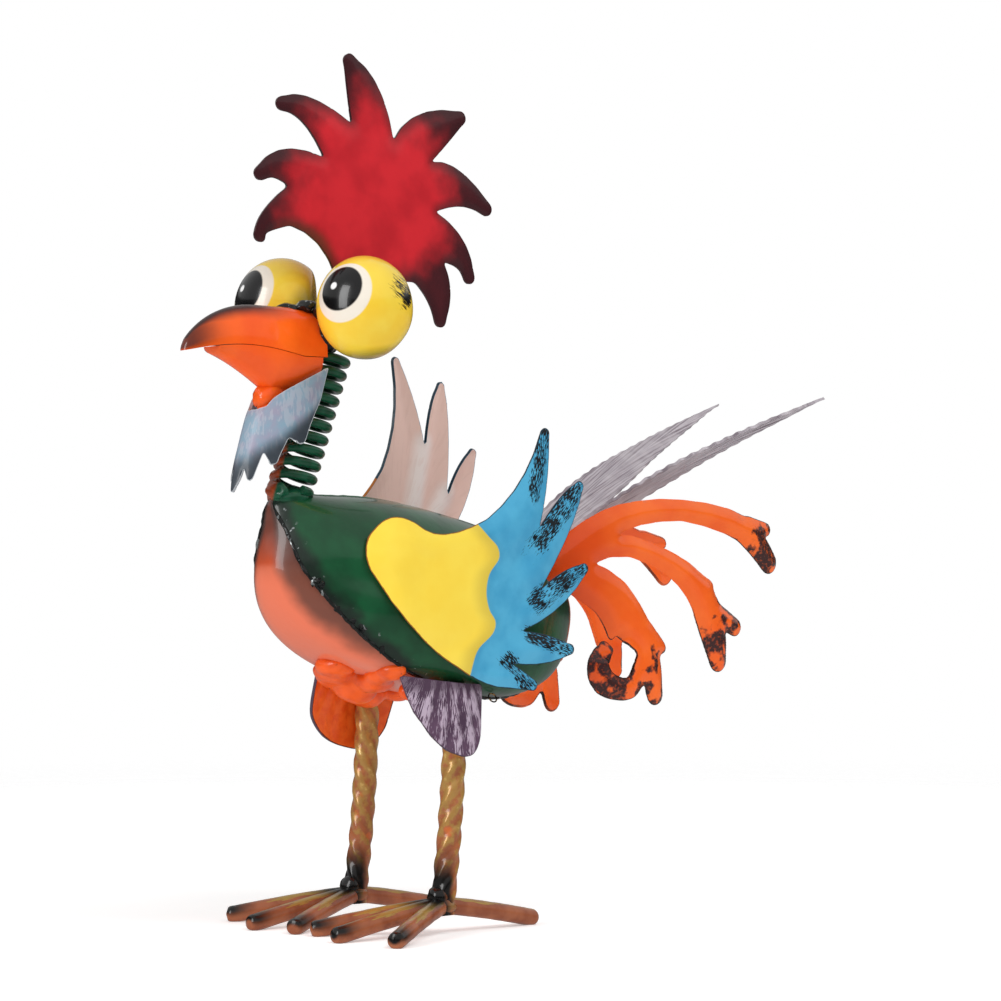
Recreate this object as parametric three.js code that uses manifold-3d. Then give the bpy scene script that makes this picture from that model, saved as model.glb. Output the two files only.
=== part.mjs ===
// Scrap metal rooster sculpture. Millimetres, Z up, the ground is Z = 0.
// The bird faces -Y and its left side is +X. The first drawing origin is the ground between the ankles.
import * as THREE from "three";
import { mergeVertices } from "three/addons/utils/BufferGeometryUtils.js";
import { TessellateModifier } from "three/addons/modifiers/TessellateModifier.js";
import Module from "manifold-3d";

const wasm = await Module();
wasm.setup();

// Driving sizes
const SHEET = 1.4;
const GAP = 0.3;
const BODY = { y: 12, z: 153, halfLength: 90, above: 39, below: 45, halfWidth: 40, tilt: 12 };
const BODY_POWER = { above: 2.5, below: 2.2 };
const NECK = { turn: 149, spread: 14, swell: 0.13, halfWidth: 15 };
const TURN_STEP = 10;
const BREAST = { from: 150, to: 330, halfWidth: 31, tipHalfWidth: 1.5, fullness: 1.05 };
const EYE = { x: 31, y: -44, zLeft: 281, zRight: 285, width: 43, height: 46.5 };
const BEAK = {
  back: -48, tip: -121.5, mouth: 259.5, mouthRise: 4, ridge: 282, hookPart: 0.55, backDrop: 4,
  halfWidth: 13, tipHalfWidth: 1.8, tipHeight: 1.5,
  jawDepth: 17, jawFrom: 0.18, jawDeepest: 0.62, jawRear: 0.25,
};
const CHIN = { y: -77, z: 240.5, radius: 7.5 };
const SPRING = { wire: 4.4, coil: 17.2, turns: 10.5, base: [0, -62, 200], top: [0, -40.2, 262.3] };
const LEG = { x: 32, bottom: 6, top: 136, bow: 7.5, bowTop: 90, width: 10.6, edgeRelief: 0.07, pitch: -44 };
const TOE = { radius: 4, front: 60, hind: 57, arch: 12.5, sink: 0.6 };
const TOE_TURNS = { left: [30, -3, -30], right: [40, 2, -24] };
const WING = { x: 41.5, frontCurl: 0.0035, flare: 0.06, flatFrom: 15, facet: 24 };
const RIGHT_WING = { turn: 30, back: 26, up: 16, pivot: [-10, 155] };
const TAIL = { x: 39, curl: 0.0036, curlFrom: 120, rightDrop: 6, rightBack: 5 };
const QUILL = { root: [7, 78, 169], tip: [38, 249, 252], width: 21.5, widest: 0.35, arch: 5, roll: 35 };
const BEARD = { depth: 25, halfWidth: 14, frontTop: [-79, 247], lean: 0.3, armLength: 31 };
const THIGH = { x: 39.5, cup: 9, cupHalf: 26, flare: 0.1, middle: [2, 95], rightStretch: 1.14 };
const LOOP = { centre: [29, 33, 105.5], radius: 2.2, wire: 0.7 };

const radians = THREE.MathUtils.degToRad;

// Solids: welding, joining and cutting

function weld(geometry) {
  geometry.deleteAttribute("normal");
  geometry.deleteAttribute("uv");
  const welded = mergeVertices(geometry, 1e-4);
  const kept = [];
  for (let i = 0; i < welded.index.count; i += 3) {
    const [a, b, c] = [0, 1, 2].map((step) => welded.index.getX(i + step));
    if (a !== b && b !== c && c !== a) kept.push(a, b, c);
  }
  welded.setIndex(kept);
  return welded;
}

function solid(geometry) {
  const welded = weld(geometry.clone());
  const vertProperties = new Float32Array(welded.attributes.position.array);
  const triVerts = new Uint32Array(welded.index.array);
  return new wasm.Manifold(new wasm.Mesh({ numProp: 3, vertProperties, triVerts }));
}

function geometryOf(body) {
  const mesh = body.getMesh();
  const geometry = new THREE.BufferGeometry();
  geometry.setAttribute("position", new THREE.BufferAttribute(new Float32Array(mesh.vertProperties), 3));
  geometry.setIndex(new THREE.BufferAttribute(new Uint32Array(mesh.triVerts), 1));
  return geometry;
}

function join(geometries) {
  return geometryOf(geometries.map(solid).reduce((all, next) => all.add(next)));
}

function cut(geometry, tools) {
  return geometryOf(tools.map(solid).reduce((left, tool) => left.subtract(tool), solid(geometry)));
}

function moveVertices(geometry, place) {
  const position = geometry.attributes.position;
  const point = new THREE.Vector3();
  for (let i = 0; i < position.count; i += 1) {
    point.fromBufferAttribute(position, i);
    const moved = place(point);
    position.setXYZ(i, moved.x, moved.y, moved.z);
  }
  return geometry;
}

function facingOut(geometry) {
  return solidVolume(geometry) > 0 ? geometry : turnedOver(geometry);
}

function solidVolume(geometry) {
  const { attributes, index } = geometry;
  const corner = (i) => new THREE.Vector3().fromBufferAttribute(attributes.position, index.getX(i));
  let volume = 0;
  for (let i = 0; i < index.count; i += 3) {
    volume += corner(i).dot(corner(i + 1).cross(corner(i + 2))) / 6;
  }
  return volume;
}

function turnedOver(geometry) {
  const order = Array.from(geometry.index.array);
  for (let i = 0; i < order.length; i += 3) [order[i], order[i + 1]] = [order[i + 1], order[i]];
  geometry.setIndex(order);
  return geometry;
}

function mirrored(geometry) {
  const copy = turnedOver(geometry.clone());
  return moveVertices(copy, (p) => new THREE.Vector3(-p.x, p.y, p.z));
}

// Outlines in the side view: x is along the bird (Y), y is height (Z)

function curveThrough(shape, middle, end) {
  const start = shape.currentPoint;
  const bend = (axis, index) => 2 * middle[index] - (start[axis] + end[index]) / 2;
  shape.quadraticCurveTo(bend("x", 0), bend("y", 1), end[0], end[1]);
}

function addFinger(shape, finger, radius) {
  const [rise, tip, fall, notch] = finger.map(([y, z]) => new THREE.Vector2(y, z));
  const along = tip.clone().sub(rise.clone().add(fall).multiplyScalar(0.5)).normalize();
  const across = new THREE.Vector2(-along.y, along.x);
  const side = Math.sign(across.dot(rise.clone().sub(fall))) || 1;
  const centre = tip.clone().addScaledVector(along, -radius);
  const first = centre.clone().addScaledVector(across, side * radius);
  curveThrough(shape, rise.toArray(), first.toArray());
  const angle = Math.atan2(across.y * side, across.x * side);
  shape.absarc(centre.x, centre.y, radius, angle, angle - side * Math.PI, side > 0);
  curveThrough(shape, fall.toArray(), notch.toArray());
}

function ribbon(points, widths) {
  const line = new THREE.SplineCurve(points.map(([y, z]) => new THREE.Vector2(y, z)));
  const steps = points.length * 2;
  const offset = (t, side) => {
    const place = t * (widths.length - 1);
    const low = Math.min(Math.floor(place), widths.length - 2);
    const half = THREE.MathUtils.lerp(widths[low], widths[low + 1], place - low);
    const way = line.getTangent(t);
    return line.getPoint(t).add(new THREE.Vector2(-way.y, way.x).multiplyScalar(half * side));
  };
  const shape = new THREE.Shape();
  const first = offset(0, 1);
  shape.moveTo(first.x, first.y);
  const start = line.getPoint(0);
  const startAngle = Math.atan2(first.y - start.y, first.x - start.x);
  shape.absarc(start.x, start.y, widths[0], startAngle, startAngle + Math.PI, false);
  for (let i = 1; i <= steps; i += 1) shape.lineTo(...offset(i / steps, -1).toArray());
  const end = line.getPoint(1);
  const last = offset(1, -1);
  const endAngle = Math.atan2(last.y - end.y, last.x - end.x);
  shape.absarc(end.x, end.y, widths.at(-1), endAngle, endAngle + Math.PI, false);
  for (let i = steps - 1; i > 0; i -= 1) shape.lineTo(...offset(i / steps, 1).toArray());
  return shape;
}

function flatSheet(shape, curveSegments = 6) {
  const geometry = new THREE.ExtrudeGeometry(shape, { depth: SHEET, bevelEnabled: false, curveSegments });
  return geometry.translate(0, 0, -SHEET / 2);
}

// Stands a flat sheet up in the side view and bends it sideways
function standing(geometry, sideways, longestEdge) {
  const fine = new TessellateModifier(longestEdge, 12).modify(geometry);
  return moveVertices(weld(fine), (p) => new THREE.Vector3(p.z + sideways(p.x, p.y), p.x, p.y));
}

// Body: two side shells and a breast plate on one egg-like form

function signedPower(value, power) {
  return Math.sign(value) * Math.abs(value) ** power;
}

function neckSwell(turn, x) {
  const degrees = THREE.MathUtils.euclideanModulo(THREE.MathUtils.radToDeg(turn), 360);
  const round = (degrees - NECK.turn) / NECK.spread;
  return 1 + NECK.swell * Math.exp(-(round ** 2) - (x / NECK.halfWidth) ** 2);
}

// turn runs round the side view from the rear over the top; the form is fuller below than above
function bodyPoint(turn, x, grow) {
  const box = 2 + 2 * Math.max(0, -Math.sin(turn)) ** 2;
  const halfWidth = BODY.halfWidth + grow;
  const sidePart = Math.min(1, Math.abs(x) / halfWidth);
  const reach = neckSwell(turn, x) * Math.max(0, 1 - sidePart ** box) ** (1 / box);
  const upper = Math.sin(turn) > 0;
  const power = 2 / (upper ? BODY_POWER.above : BODY_POWER.below);
  const along = signedPower(Math.cos(turn), power) * (BODY.halfLength + grow) * reach;
  const high = signedPower(Math.sin(turn), power) * ((upper ? BODY.above : BODY.below) + grow) * reach;
  const tilt = radians(BODY.tilt);
  const y = BODY.y + along * Math.cos(tilt) + high * Math.sin(tilt);
  const z = BODY.z - along * Math.sin(tilt) + high * Math.cos(tilt);
  return new THREE.Vector3(x, y, z);
}

// half width of the body where a sheet beside it stands at this length and height
function bodyHalfWidthAt(y, z) {
  const tilt = radians(BODY.tilt);
  const along = (y - BODY.y) * Math.cos(tilt) - (z - BODY.z) * Math.sin(tilt);
  const high = (y - BODY.y) * Math.sin(tilt) + (z - BODY.z) * Math.cos(tilt);
  const power = high > 0 ? BODY_POWER.above : BODY_POWER.below;
  const alongPart = Math.abs(along / BODY.halfLength) ** power;
  const highPart = Math.abs(high / (high > 0 ? BODY.above : BODY.below)) ** power;
  const reach = (alongPart + highPart) ** (1 / power);
  const box = high > 0 ? 2 : 2 + (2 * highPart) / Math.max(1e-6, alongPart + highPart);
  return reach < 1 ? BODY.halfWidth * (1 - reach ** box) ** (1 / box) : 0;
}

function breastHalfWidth(turn) {
  const degrees = THREE.MathUtils.euclideanModulo(THREE.MathUtils.radToDeg(turn), 360);
  const part = (degrees - BREAST.from) / (BREAST.to - BREAST.from);
  const margin = TURN_STEP / (BREAST.to - BREAST.from);
  if (part < -1.1 * margin || part > 1 + 1.1 * margin) return 0;
  const leaf = Math.max(0, Math.sin(Math.PI * part)) ** BREAST.fullness;
  return Math.max(BREAST.tipHalfWidth, BREAST.halfWidth * leaf);
}

function sideShell() {
  const arc = [];
  const steps = 5;
  const innerRadius = 0.9;
  for (let i = 0; i <= steps; i += 1) arc.push(new THREE.Vector2(i / steps, 1));
  for (let i = steps; i >= 0; i -= 1) arc.push(new THREE.Vector2(i / steps, innerRadius));
  const lathe = new THREE.LatheGeometry(arc, 360 / TURN_STEP);
  const shell = moveVertices(lathe, (p) => {
    const turn = Math.atan2(p.z, p.x);
    const outward = Math.min(1, Math.hypot(p.x, p.z));
    const grow = p.y > (1 + innerRadius) / 2 ? 0 : -SHEET;
    const halfWidth = BODY.halfWidth + grow;
    const breast = breastHalfWidth(turn);
    const rim = breast > 0 ? breast + GAP : GAP / 2;
    const spread = Math.acos(Math.min(1, rim / halfWidth)) * outward;
    return bodyPoint(turn, halfWidth * Math.cos(spread), grow);
  });
  return facingOut(weld(shell));
}

function breastPlate() {
  const box = new THREE.BoxGeometry(1, 1, 1, (BREAST.to - BREAST.from) / TURN_STEP, 8, 1);
  const plate = moveVertices(box, (p) => {
    const turn = radians(THREE.MathUtils.lerp(BREAST.from, BREAST.to, p.x + 0.5));
    return bodyPoint(turn, 2 * p.y * breastHalfWidth(turn), p.z > 0 ? 0 : -SHEET);
  });
  return facingOut(weld(plate));
}

function bodyClearance() {
  const sphere = new THREE.SphereGeometry(1, 32, 24).rotateZ(-Math.PI / 2);
  const grow = 2 * GAP;
  const egg = moveVertices(sphere, (p) => {
    const turn = Math.atan2(p.z, p.y);
    return bodyPoint(turn, (BODY.halfWidth + grow) * Math.max(-1, Math.min(1, p.x)), grow);
  });
  return facingOut(weld(egg));
}

// Head

function eye(x, z, grow = 0) {
  const ball = new THREE.SphereGeometry(0.5, 20, 12).rotateX(Math.PI / 2);
  ball.scale(EYE.width + grow, EYE.width + grow, EYE.height + grow);
  return weld(ball.translate(x, EYE.y, z));
}

function eyeClearances() {
  return [eye(EYE.x, EYE.zLeft, 2 * GAP), eye(-EYE.x, EYE.zRight, 2 * GAP)];
}

function beakStation(part) {
  const y = THREE.MathUtils.lerp(BEAK.tip, BEAK.back, part);
  const mouth = BEAK.mouth + BEAK.mouthRise * Math.sin(Math.PI * Math.min(1, part * 1.25));
  const hook = Math.min(1, part / BEAK.hookPart);
  const tipTop = BEAK.mouth + BEAK.tipHeight;
  const ridge = THREE.MathUtils.lerp(tipTop, BEAK.ridge, (1 - (1 - hook) ** 2.2) ** 0.75);
  const halfWidth = THREE.MathUtils.lerp(BEAK.tipHalfWidth, BEAK.halfWidth, part ** 0.6);
  return { y, mouth, ridge: ridge - BEAK.backDrop * Math.max(0, part - 0.75), halfWidth };
}

function beakHalf(from, to, heightAt, grow = 0) {
  const bar = new THREE.CylinderGeometry(1, 1, 1, 16, 10).rotateX(Math.PI / 2);
  const half = moveVertices(bar, (p) => {
    const station = beakStation(THREE.MathUtils.lerp(from, to, p.z + 0.5));
    const rise = Math.max(0, p.y);
    return new THREE.Vector3(p.x * (station.halfWidth + grow), station.y, heightAt(station, rise));
  });
  return facingOut(weld(half));
}

function upperBeak() {
  return beakHalf(0, 1, (s, rise) => s.mouth + GAP / 2 + (s.ridge - s.mouth) * rise);
}

// the jaw is a wedge, deepest at the chin
function jaw(grow = 0) {
  const shape = (s, rise) => {
    const part = (s.y - BEAK.tip) / (BEAK.back - BEAK.tip);
    const opening = (part - BEAK.jawFrom) / (BEAK.jawDeepest - BEAK.jawFrom);
    const closing = ((1 - part) / (1 - BEAK.jawDeepest)) ** BEAK.jawRear;
    const depth = BEAK.tipHeight + BEAK.jawDepth * Math.min(opening, closing) + grow;
    return s.mouth - GAP / 2 - depth * rise;
  };
  return beakHalf(0.2, 0.98, shape, grow);
}

function chin(grow = 0) {
  return new THREE.SphereGeometry(CHIN.radius + grow, 12, 8).translate(0, CHIN.y, CHIN.z);
}

function lowerBeak(grow = 0) {
  return join([jaw(grow), chin(grow)]);
}

function comb() {
  const tipRadius = 3.4;
  const spikes = [
    [[-77.5, 325], [-81, 310.5], [-75, 315], [-62.8, 318.8]],
    [[-66.5, 353.2], [-82.8, 339.5], [-72, 339.4], [-64.5, 336.7]],
    [[-50, 378], [-70.5, 374], [-55, 366], [-43.6, 351.7]],
    [[-29.6, 385], [-30, 400.3], [-11.5, 386.5], [-27.5, 368.9]],
    [[12, 377], [41, 379], [30.5, 366], [-3.4, 363.5]],
    [[36.5, 353], [56.6, 334.5], [38, 335.8], [19.4, 355.4]],
    [[39, 320.5], [45, 300], [36.5, 306.5], [21.9, 332.1]],
    [[31.5, 296], [25.5, 278], [17.5, 290.5], [27.4, 308.6]],
  ];
  const shape = new THREE.Shape();
  const tang = [-33, 287];
  shape.moveTo(...tang);
  curveThrough(shape, [-43, 309], spikes[0][3]);
  // going round the fan, each spike ends in the notch before the next one
  const starts = spikes.map((spike) => spike[3]);
  for (let i = 0; i < spikes.length; i += 1) {
    const [outer, tip, inner] = spikes[i];
    const next = i + 1 < spikes.length ? starts[i + 1] : [10, 298];
    const forward = i < 3;
    addFinger(shape, forward ? [inner, tip, outer, next] : [outer, tip, inner, next], tipRadius);
  }
  curveThrough(shape, [-8, 296], [-20, 287]);
  const plate = standing(flatSheet(shape, 5), () => 0, 400);
  return cut(plate, [...eyeClearances(), upperBeakClearance()]);
}

function upperBeakClearance() {
  const size = 40;
  const combOverlap = 2.5;
  const top = BEAK.ridge - combOverlap;
  return new THREE.BoxGeometry(size, size, size).translate(0, BEAK.back - size / 2 + GAP, top - size / 2);
}

function beard() {
  const fingers = [
    [[-29.5, 230], [-27, 220], [-24.5, 221.2], [-22, 223]],
    [[-20.5, 217], [-18, 210.5], [-15.5, 213], [-13, 216]],
    [[-12, 210], [-9.5, 203.5], [-7, 206], [-5, 209]],
    [[-4, 204], [0, 198.5], [4, 204], [5, 209]],
    [[7, 206], [9.5, 203.5], [12, 210], [13, 216]],
    [[15.5, 213], [18, 210.5], [20.5, 217], [22, 223]],
    [[24.5, 221.2], [27, 220], [29.5, 230], [BEARD.armLength, 240]],
  ];
  const shape = new THREE.Shape();
  const armTop = 255;
  shape.moveTo(-BEARD.armLength, armTop);
  shape.lineTo(-BEARD.armLength, 240);
  for (const finger of fingers) addFinger(shape, finger, 1.8);
  shape.lineTo(BEARD.armLength, armTop);
  curveThrough(shape, [0, 238], [-BEARD.armLength, armTop]);
  const flat = new TessellateModifier(12, 12).modify(flatSheet(shape, 3));
  const wrapped = moveVertices(weld(flat), (p) => {
    const swing = (p.x / BEARD.armLength) * (Math.PI / 2);
    const [frontY, frontZ] = BEARD.frontTop;
    const grow = p.z;
    const front = frontY + (p.y - frontZ) * BEARD.lean;
    const x = (BEARD.halfWidth + grow) * Math.sin(swing);
    const y = front + BEARD.depth - (BEARD.depth + grow) * Math.cos(swing);
    return new THREE.Vector3(x, y, p.y);
  });
  return cut(facingOut(wrapped), [lowerBeak(2 * GAP)]);
}

class Helix extends THREE.Curve {
  getPoint(t) {
    const base = new THREE.Vector3(...SPRING.base);
    const axis = new THREE.Vector3(...SPRING.top).sub(base);
    const across = new THREE.Vector3(1, 0, 0);
    const ahead = new THREE.Vector3().crossVectors(axis, across).normalize();
    const swing = t * SPRING.turns * 2 * Math.PI;
    return base
      .addScaledVector(axis, t)
      .addScaledVector(across, (SPRING.coil / 2) * Math.cos(swing))
      .addScaledVector(ahead, (SPRING.coil / 2) * Math.sin(swing));
  }
}

function roundSection(radius, sides) {
  const shape = new THREE.Shape();
  for (let i = 0; i < sides; i += 1) {
    const angle = (2 * Math.PI * i) / sides;
    const corner = [radius * Math.cos(angle), radius * Math.sin(angle)];
    if (i === 0) shape.moveTo(...corner);
    else shape.lineTo(...corner);
  }
  shape.closePath();
  return shape;
}

function rod(curve, radius, sides, steps) {
  const section = roundSection(radius, sides);
  return weld(new THREE.ExtrudeGeometry(section, { extrudePath: curve, steps, bevelEnabled: false }));
}

function springClearance() {
  const axis = new THREE.LineCurve3(new THREE.Vector3(...SPRING.base), new THREE.Vector3(...SPRING.top));
  const longer = new THREE.LineCurve3(axis.getPoint(-0.1), axis.getPoint(1.1));
  return facingOut(rod(longer, SPRING.coil / 2 + SPRING.wire / 2 + 2 * GAP, 24, 1));
}

function neckSpring() {
  return facingOut(rod(new Helix(), SPRING.wire / 2, 5, 100));
}

// Wings, tail and thighs

function wingOutline() {
  const tipRadius = 2.6;
  const feathers = [
    [[37, 205], [52.5, 230], [53, 205], [48.7, 184.3]],
    [[60.5, 198], [73.5, 205.5], [66, 182], [49.8, 156.1]],
    [[62, 163.5], [77, 166.5], [60, 147], [38.7, 136.4]],
    [[52, 134.5], [69, 127.5], [51, 121.2], [32.9, 121.3]],
    [[38, 118.5], [47, 110.5], [35, 109.8], [23.1, 111]],
  ];
  const shape = new THREE.Shape();
  shape.moveTo(8.1, 116.4);
  curveThrough(shape, [-22, 136.6], [-39.8, 159.4]);
  curveThrough(shape, [-44.3, 172], [-37.6, 184.3]);
  curveThrough(shape, [-28, 188], [-15.3, 182.2]);
  curveThrough(shape, [-2, 180.8], [18, 187.5]);
  for (const feather of feathers) addFinger(shape, feather, tipRadius);
  curveThrough(shape, [15, 113.5], [8.1, 116.4]);
  return shape;
}

function wingSideways(y, z) {
  const from = y - WING.flatFrom;
  const free = from < 0 ? WING.x - WING.frontCurl * from ** 2 : WING.x + WING.flare * from;
  return Math.max(free, bodyHalfWidthAt(y, z) + 3 * GAP + SHEET / 2);
}

function leftWing() {
  return facingOut(standing(flatSheet(wingOutline(), 5), wingSideways, WING.facet));
}

function rightWing() {
  const flat = flatSheet(wingOutline(), 5);
  const [pivotY, pivotZ] = RIGHT_WING.pivot;
  flat.translate(-pivotY, -pivotZ, 0);
  flat.rotateZ(radians(RIGHT_WING.turn));
  flat.translate(pivotY + RIGHT_WING.back, pivotZ + RIGHT_WING.up, 0);
  const raised = standing(flat, wingSideways, WING.facet);
  return mirrored(facingOut(raised));
}

// each branch is a middle line and its half widths along that line
function tailPlate() {
  const branches = [
    [
      [[66, 166], [92, 183], [112, 191], [145, 193.5], [180, 187.5], [196, 178], [205, 168.5]],
      [7, 8, 6, 5.2, 6.6, 7, 5.8],
    ],
    [[[190, 187], [203, 184.6]], [4.5, 3.6]],
    [
      [[72, 168], [103, 176.5], [134.7, 168.5], [154.7, 155.6], [164.6, 139], [169.3, 120.5]],
      [8, 5, 5.6, 8, 9.8, 5.8],
    ],
    [[[168, 143], [181, 136.5]], [6, 4.5]],
    [[[157, 159], [163.3, 156.4]], [4, 3.2]],
    [[[72, 166], [97, 153], [110, 140], [121, 127], [126.5, 105]], [8, 11, 10.5, 8, 5.3]],
    [[[88, 157], [97, 143], [99.5, 133.5]], [6, 4.5, 2.2]],
    [[[121, 136], [131, 127]], [4.5, 3]],
    [
      [[119, 124], [112.5, 110.5], [104, 108], [94, 111.5], [91, 120], [95, 127.5]],
      [6, 6, 5.4, 6, 5, 3.4],
    ],
  ];
  const flat = join(branches.map(([line, widths]) => flatSheet(ribbon(line, widths), 4)));
  const sideways = (y) => TAIL.x - TAIL.curl * Math.max(0, TAIL.curlFrom - y) ** 2;
  return facingOut(standing(flat.toNonIndexed(), sideways, 30));
}

function quill() {
  const root = new THREE.Vector3(...QUILL.root);
  const along = new THREE.Vector3(...QUILL.tip).sub(root);
  const length = along.length();
  along.normalize();
  const level = new THREE.Vector3(0, 0, 1).cross(along).normalize();
  const lift = along.clone().cross(level);
  // rolled about its shaft, so the outer edge stands higher
  const across = level.clone().applyAxisAngle(along, radians(-QUILL.roll));
  const above = along.clone().cross(across);
  const half = QUILL.width / 2;
  const shape = new THREE.Shape();
  shape.moveTo(0, -3);
  shape.bezierCurveTo(length * 0.12, -half, length * QUILL.widest, -half * 1.2, length * 0.6, -half * 0.62);
  shape.quadraticCurveTo(length * 0.85, -half * 0.25, length, 0);
  shape.quadraticCurveTo(length * 0.85, half * 0.25, length * 0.6, half * 0.62);
  shape.bezierCurveTo(length * QUILL.widest, half * 1.2, length * 0.12, half, 0, 3);
  const flat = weld(new TessellateModifier(24, 12).modify(flatSheet(shape, 8)));
  flat.applyMatrix4(new THREE.Matrix4().makeBasis(along, across, above).setPosition(root));
  return moveVertices(flat, (p) => {
    const part = p.clone().sub(root).dot(along) / length;
    return p.clone().addScaledVector(lift, QUILL.arch * 4 * part * (1 - part));
  });
}

function thigh(stretch) {
  const shape = new THREE.Shape();
  shape.moveTo(-23, 117);
  shape.splineThru([
    [-20.5, 107], [-17, 98.5], [-8, 86], [3, 80.5], [12, 81], [18.5, 88], [21, 98.5], [24, 112],
  ].map(([y, z]) => new THREE.Vector2(y, z)));
  curveThrough(shape, [2, 113.5], [-23, 117]);
  const [middleY, middleZ] = THIGH.middle;
  const sideways = (y, z) => {
    const cupped = THIGH.cup * ((y - middleY) / stretch / THIGH.cupHalf) ** 2;
    return THIGH.x - cupped + THIGH.flare * (middleZ - z);
  };
  const flat = flatSheet(shape, 3).scale(stretch, 1, 1);
  return facingOut(standing(flat, sideways, 10));
}

// Legs and feet

function legPath(part) {
  const z = THREE.MathUtils.lerp(LEG.bottom, LEG.top, part);
  const bent = Math.sin((Math.PI / 2) * Math.min(1.35, (z - LEG.bottom) / LEG.bowTop));
  return new THREE.Vector3(LEG.x, LEG.bow * bent, z);
}

function leg(grow = 0) {
  const height = LEG.top - LEG.bottom;
  const bar = new THREE.CylinderGeometry(1, 1, 1, 8, 36).rotateX(Math.PI / 2);
  const twisted = moveVertices(bar, (p) => {
    const part = p.z + 0.5;
    const round = Math.atan2(p.y, p.x);
    const size = Math.hypot(p.x, p.y) * (LEG.width / 2 + grow) * (1 + LEG.edgeRelief * Math.cos(4 * round));
    const turned = round + (2 * Math.PI * part * height) / LEG.pitch;
    return legPath(part).add(new THREE.Vector3(size * Math.cos(turned), size * Math.sin(turned), 0));
  });
  return facingOut(weld(twisted));
}

function toe(turn, length, grow = 0) {
  const way = [Math.sin(radians(turn)), -Math.cos(radians(turn))];
  const at = (part, z) => new THREE.Vector3(LEG.x + way[0] * length * part, way[1] * length * part, z);
  const tipZ = TOE.radius - TOE.sink;
  const reach = 1 - TOE.radius / length;
  const sloping = (part, fall) => at(part, THREE.MathUtils.lerp(TOE.arch, tipZ, fall));
  const line = [sloping(0.02, 0), sloping(0.3, 0.22), sloping(0.62, 0.66), sloping(reach, 1)];
  const curve = new THREE.CatmullRomCurve3(line);
  const bar = rod(curve, TOE.radius + grow, 8, 6);
  const end = new THREE.SphereGeometry(TOE.radius + grow, 8, 6).translate(...at(reach, tipZ).toArray());
  return join([facingOut(bar), end]);
}

function feet(turns) {
  const lengths = [TOE.front, TOE.front, TOE.front, TOE.hind];
  const all = [...turns, 180];
  const order = [1, 0, 2, 3];
  const groundSize = 400;
  const ground = new THREE.BoxGeometry(groundSize, groundSize, groundSize).translate(0, 0, -groundSize / 2);
  const toes = [];
  order.forEach((pick, rank) => {
    const nearer = order.slice(0, rank).map((other) => toe(all[other], lengths[other], GAP));
    toes[pick] = cut(toe(all[pick], lengths[pick]), [ground, leg(GAP), ...nearer]);
  });
  return toes;
}

// Painted surfaces

function paint(colour, roughness, metalness) {
  return new THREE.MeshStandardMaterial({ color: colour, roughness, metalness });
}

const PAINTS = {
  red: paint(0xa81f26, 0.35, 0.1),
  yellow: paint(0xf6d648, 0.25, 0.05),
  orange: paint(0xf0642a, 0.25, 0.05),
  salmon: paint(0xe0643f, 0.25, 0.1),
  green: paint(0x1d5a40, 0.2, 0.15),
  blue: paint(0x4fb0da, 0.3, 0.05),
  greyBlue: paint(0x8792a2, 0.35, 0.25),
  lavender: paint(0xb3a9b5, 0.45, 0.3),
  purple: paint(0x6f5873, 0.5, 0.1),
  bronze: paint(0x9a7c45, 0.35, 0.6),
  dark: paint(0x2b2a2a, 0.3, 0.3),
};

function build() {
  const group = new THREE.Group();
  const add = (name, geometry, colour) => {
    const plain = weld(geometry.index ? geometry : geometry.clone());
    plain.computeVertexNormals();
    const mesh = new THREE.Mesh(plain, PAINTS[colour].clone());
    mesh.name = name;
    group.add(mesh);
  };
  const body = bodyClearance();
  const shell = sideShell();
  add("body_left", shell, "green");
  add("body_right", mirrored(shell), "green");
  add("breast", breastPlate(), "salmon");
  add("neck_spring", cut(neckSpring(), [body]), "green");
  add("eye_left", eye(EYE.x, EYE.zLeft), "yellow");
  add("eye_right", eye(-EYE.x, EYE.zRight), "yellow");
  const besideHead = [...eyeClearances(), springClearance()];
  add("beak_upper", cut(upperBeak(), besideHead), "orange");
  add("beak_lower", cut(lowerBeak(), besideHead), "orange");
  add("comb", comb(), "red");
  add("beard", cut(beard(), [body, ...besideHead]), "greyBlue");
  const legSolid = cut(leg(), [body]);
  const thighSolid = (stretch) => cut(thigh(stretch), [body, leg(GAP)]);
  const sides = [["left", (g) => g, leftWing()], ["right", mirrored, rightWing()]];
  const tail = tailPlate();
  const feather = cut(quill(), [body]);
  for (const [side, place, wing] of sides) {
    add(`wing_${side}`, cut(wing, [body]), "blue");
    const [back, drop] = side === "left" ? [0, 0] : [TAIL.rightBack, TAIL.rightDrop];
    add(`tail_${side}`, cut(place(tail).translate(0, back, -drop), [body]), "orange");
    add(`quill_${side}`, place(feather), "lavender");
    const stretch = side === "left" ? 1 : THIGH.rightStretch;
    add(`thigh_${side}`, place(thighSolid(stretch)), side === "left" ? "purple" : "orange");
    add(`leg_${side}`, place(legSolid), "bronze");
    const names = ["outer", "middle", "inner", "hind"];
    feet(TOE_TURNS[side]).forEach((solidToe, i) => add(`toe_${side}_${names[i]}`, place(solidToe), "bronze"));
  }
  const loop = new THREE.TorusGeometry(LOOP.radius, LOOP.wire / 2, 5, 12).rotateY(Math.PI / 3);
  add("loop", weld(loop.translate(...LOOP.centre)), "dark");
  const box = new THREE.Box3().setFromObject(group);
  const shift = box.getCenter(new THREE.Vector3());
  for (const mesh of group.children) mesh.geometry.translate(-shift.x, -shift.y, -box.min.z);
  return group;
}

export default build();
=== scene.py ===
import math
import random

import bmesh
import bpy
from mathutils import Matrix, Vector, noise
from mathutils.geometry import intersect_point_line
from mathutils.kdtree import KDTree


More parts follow.
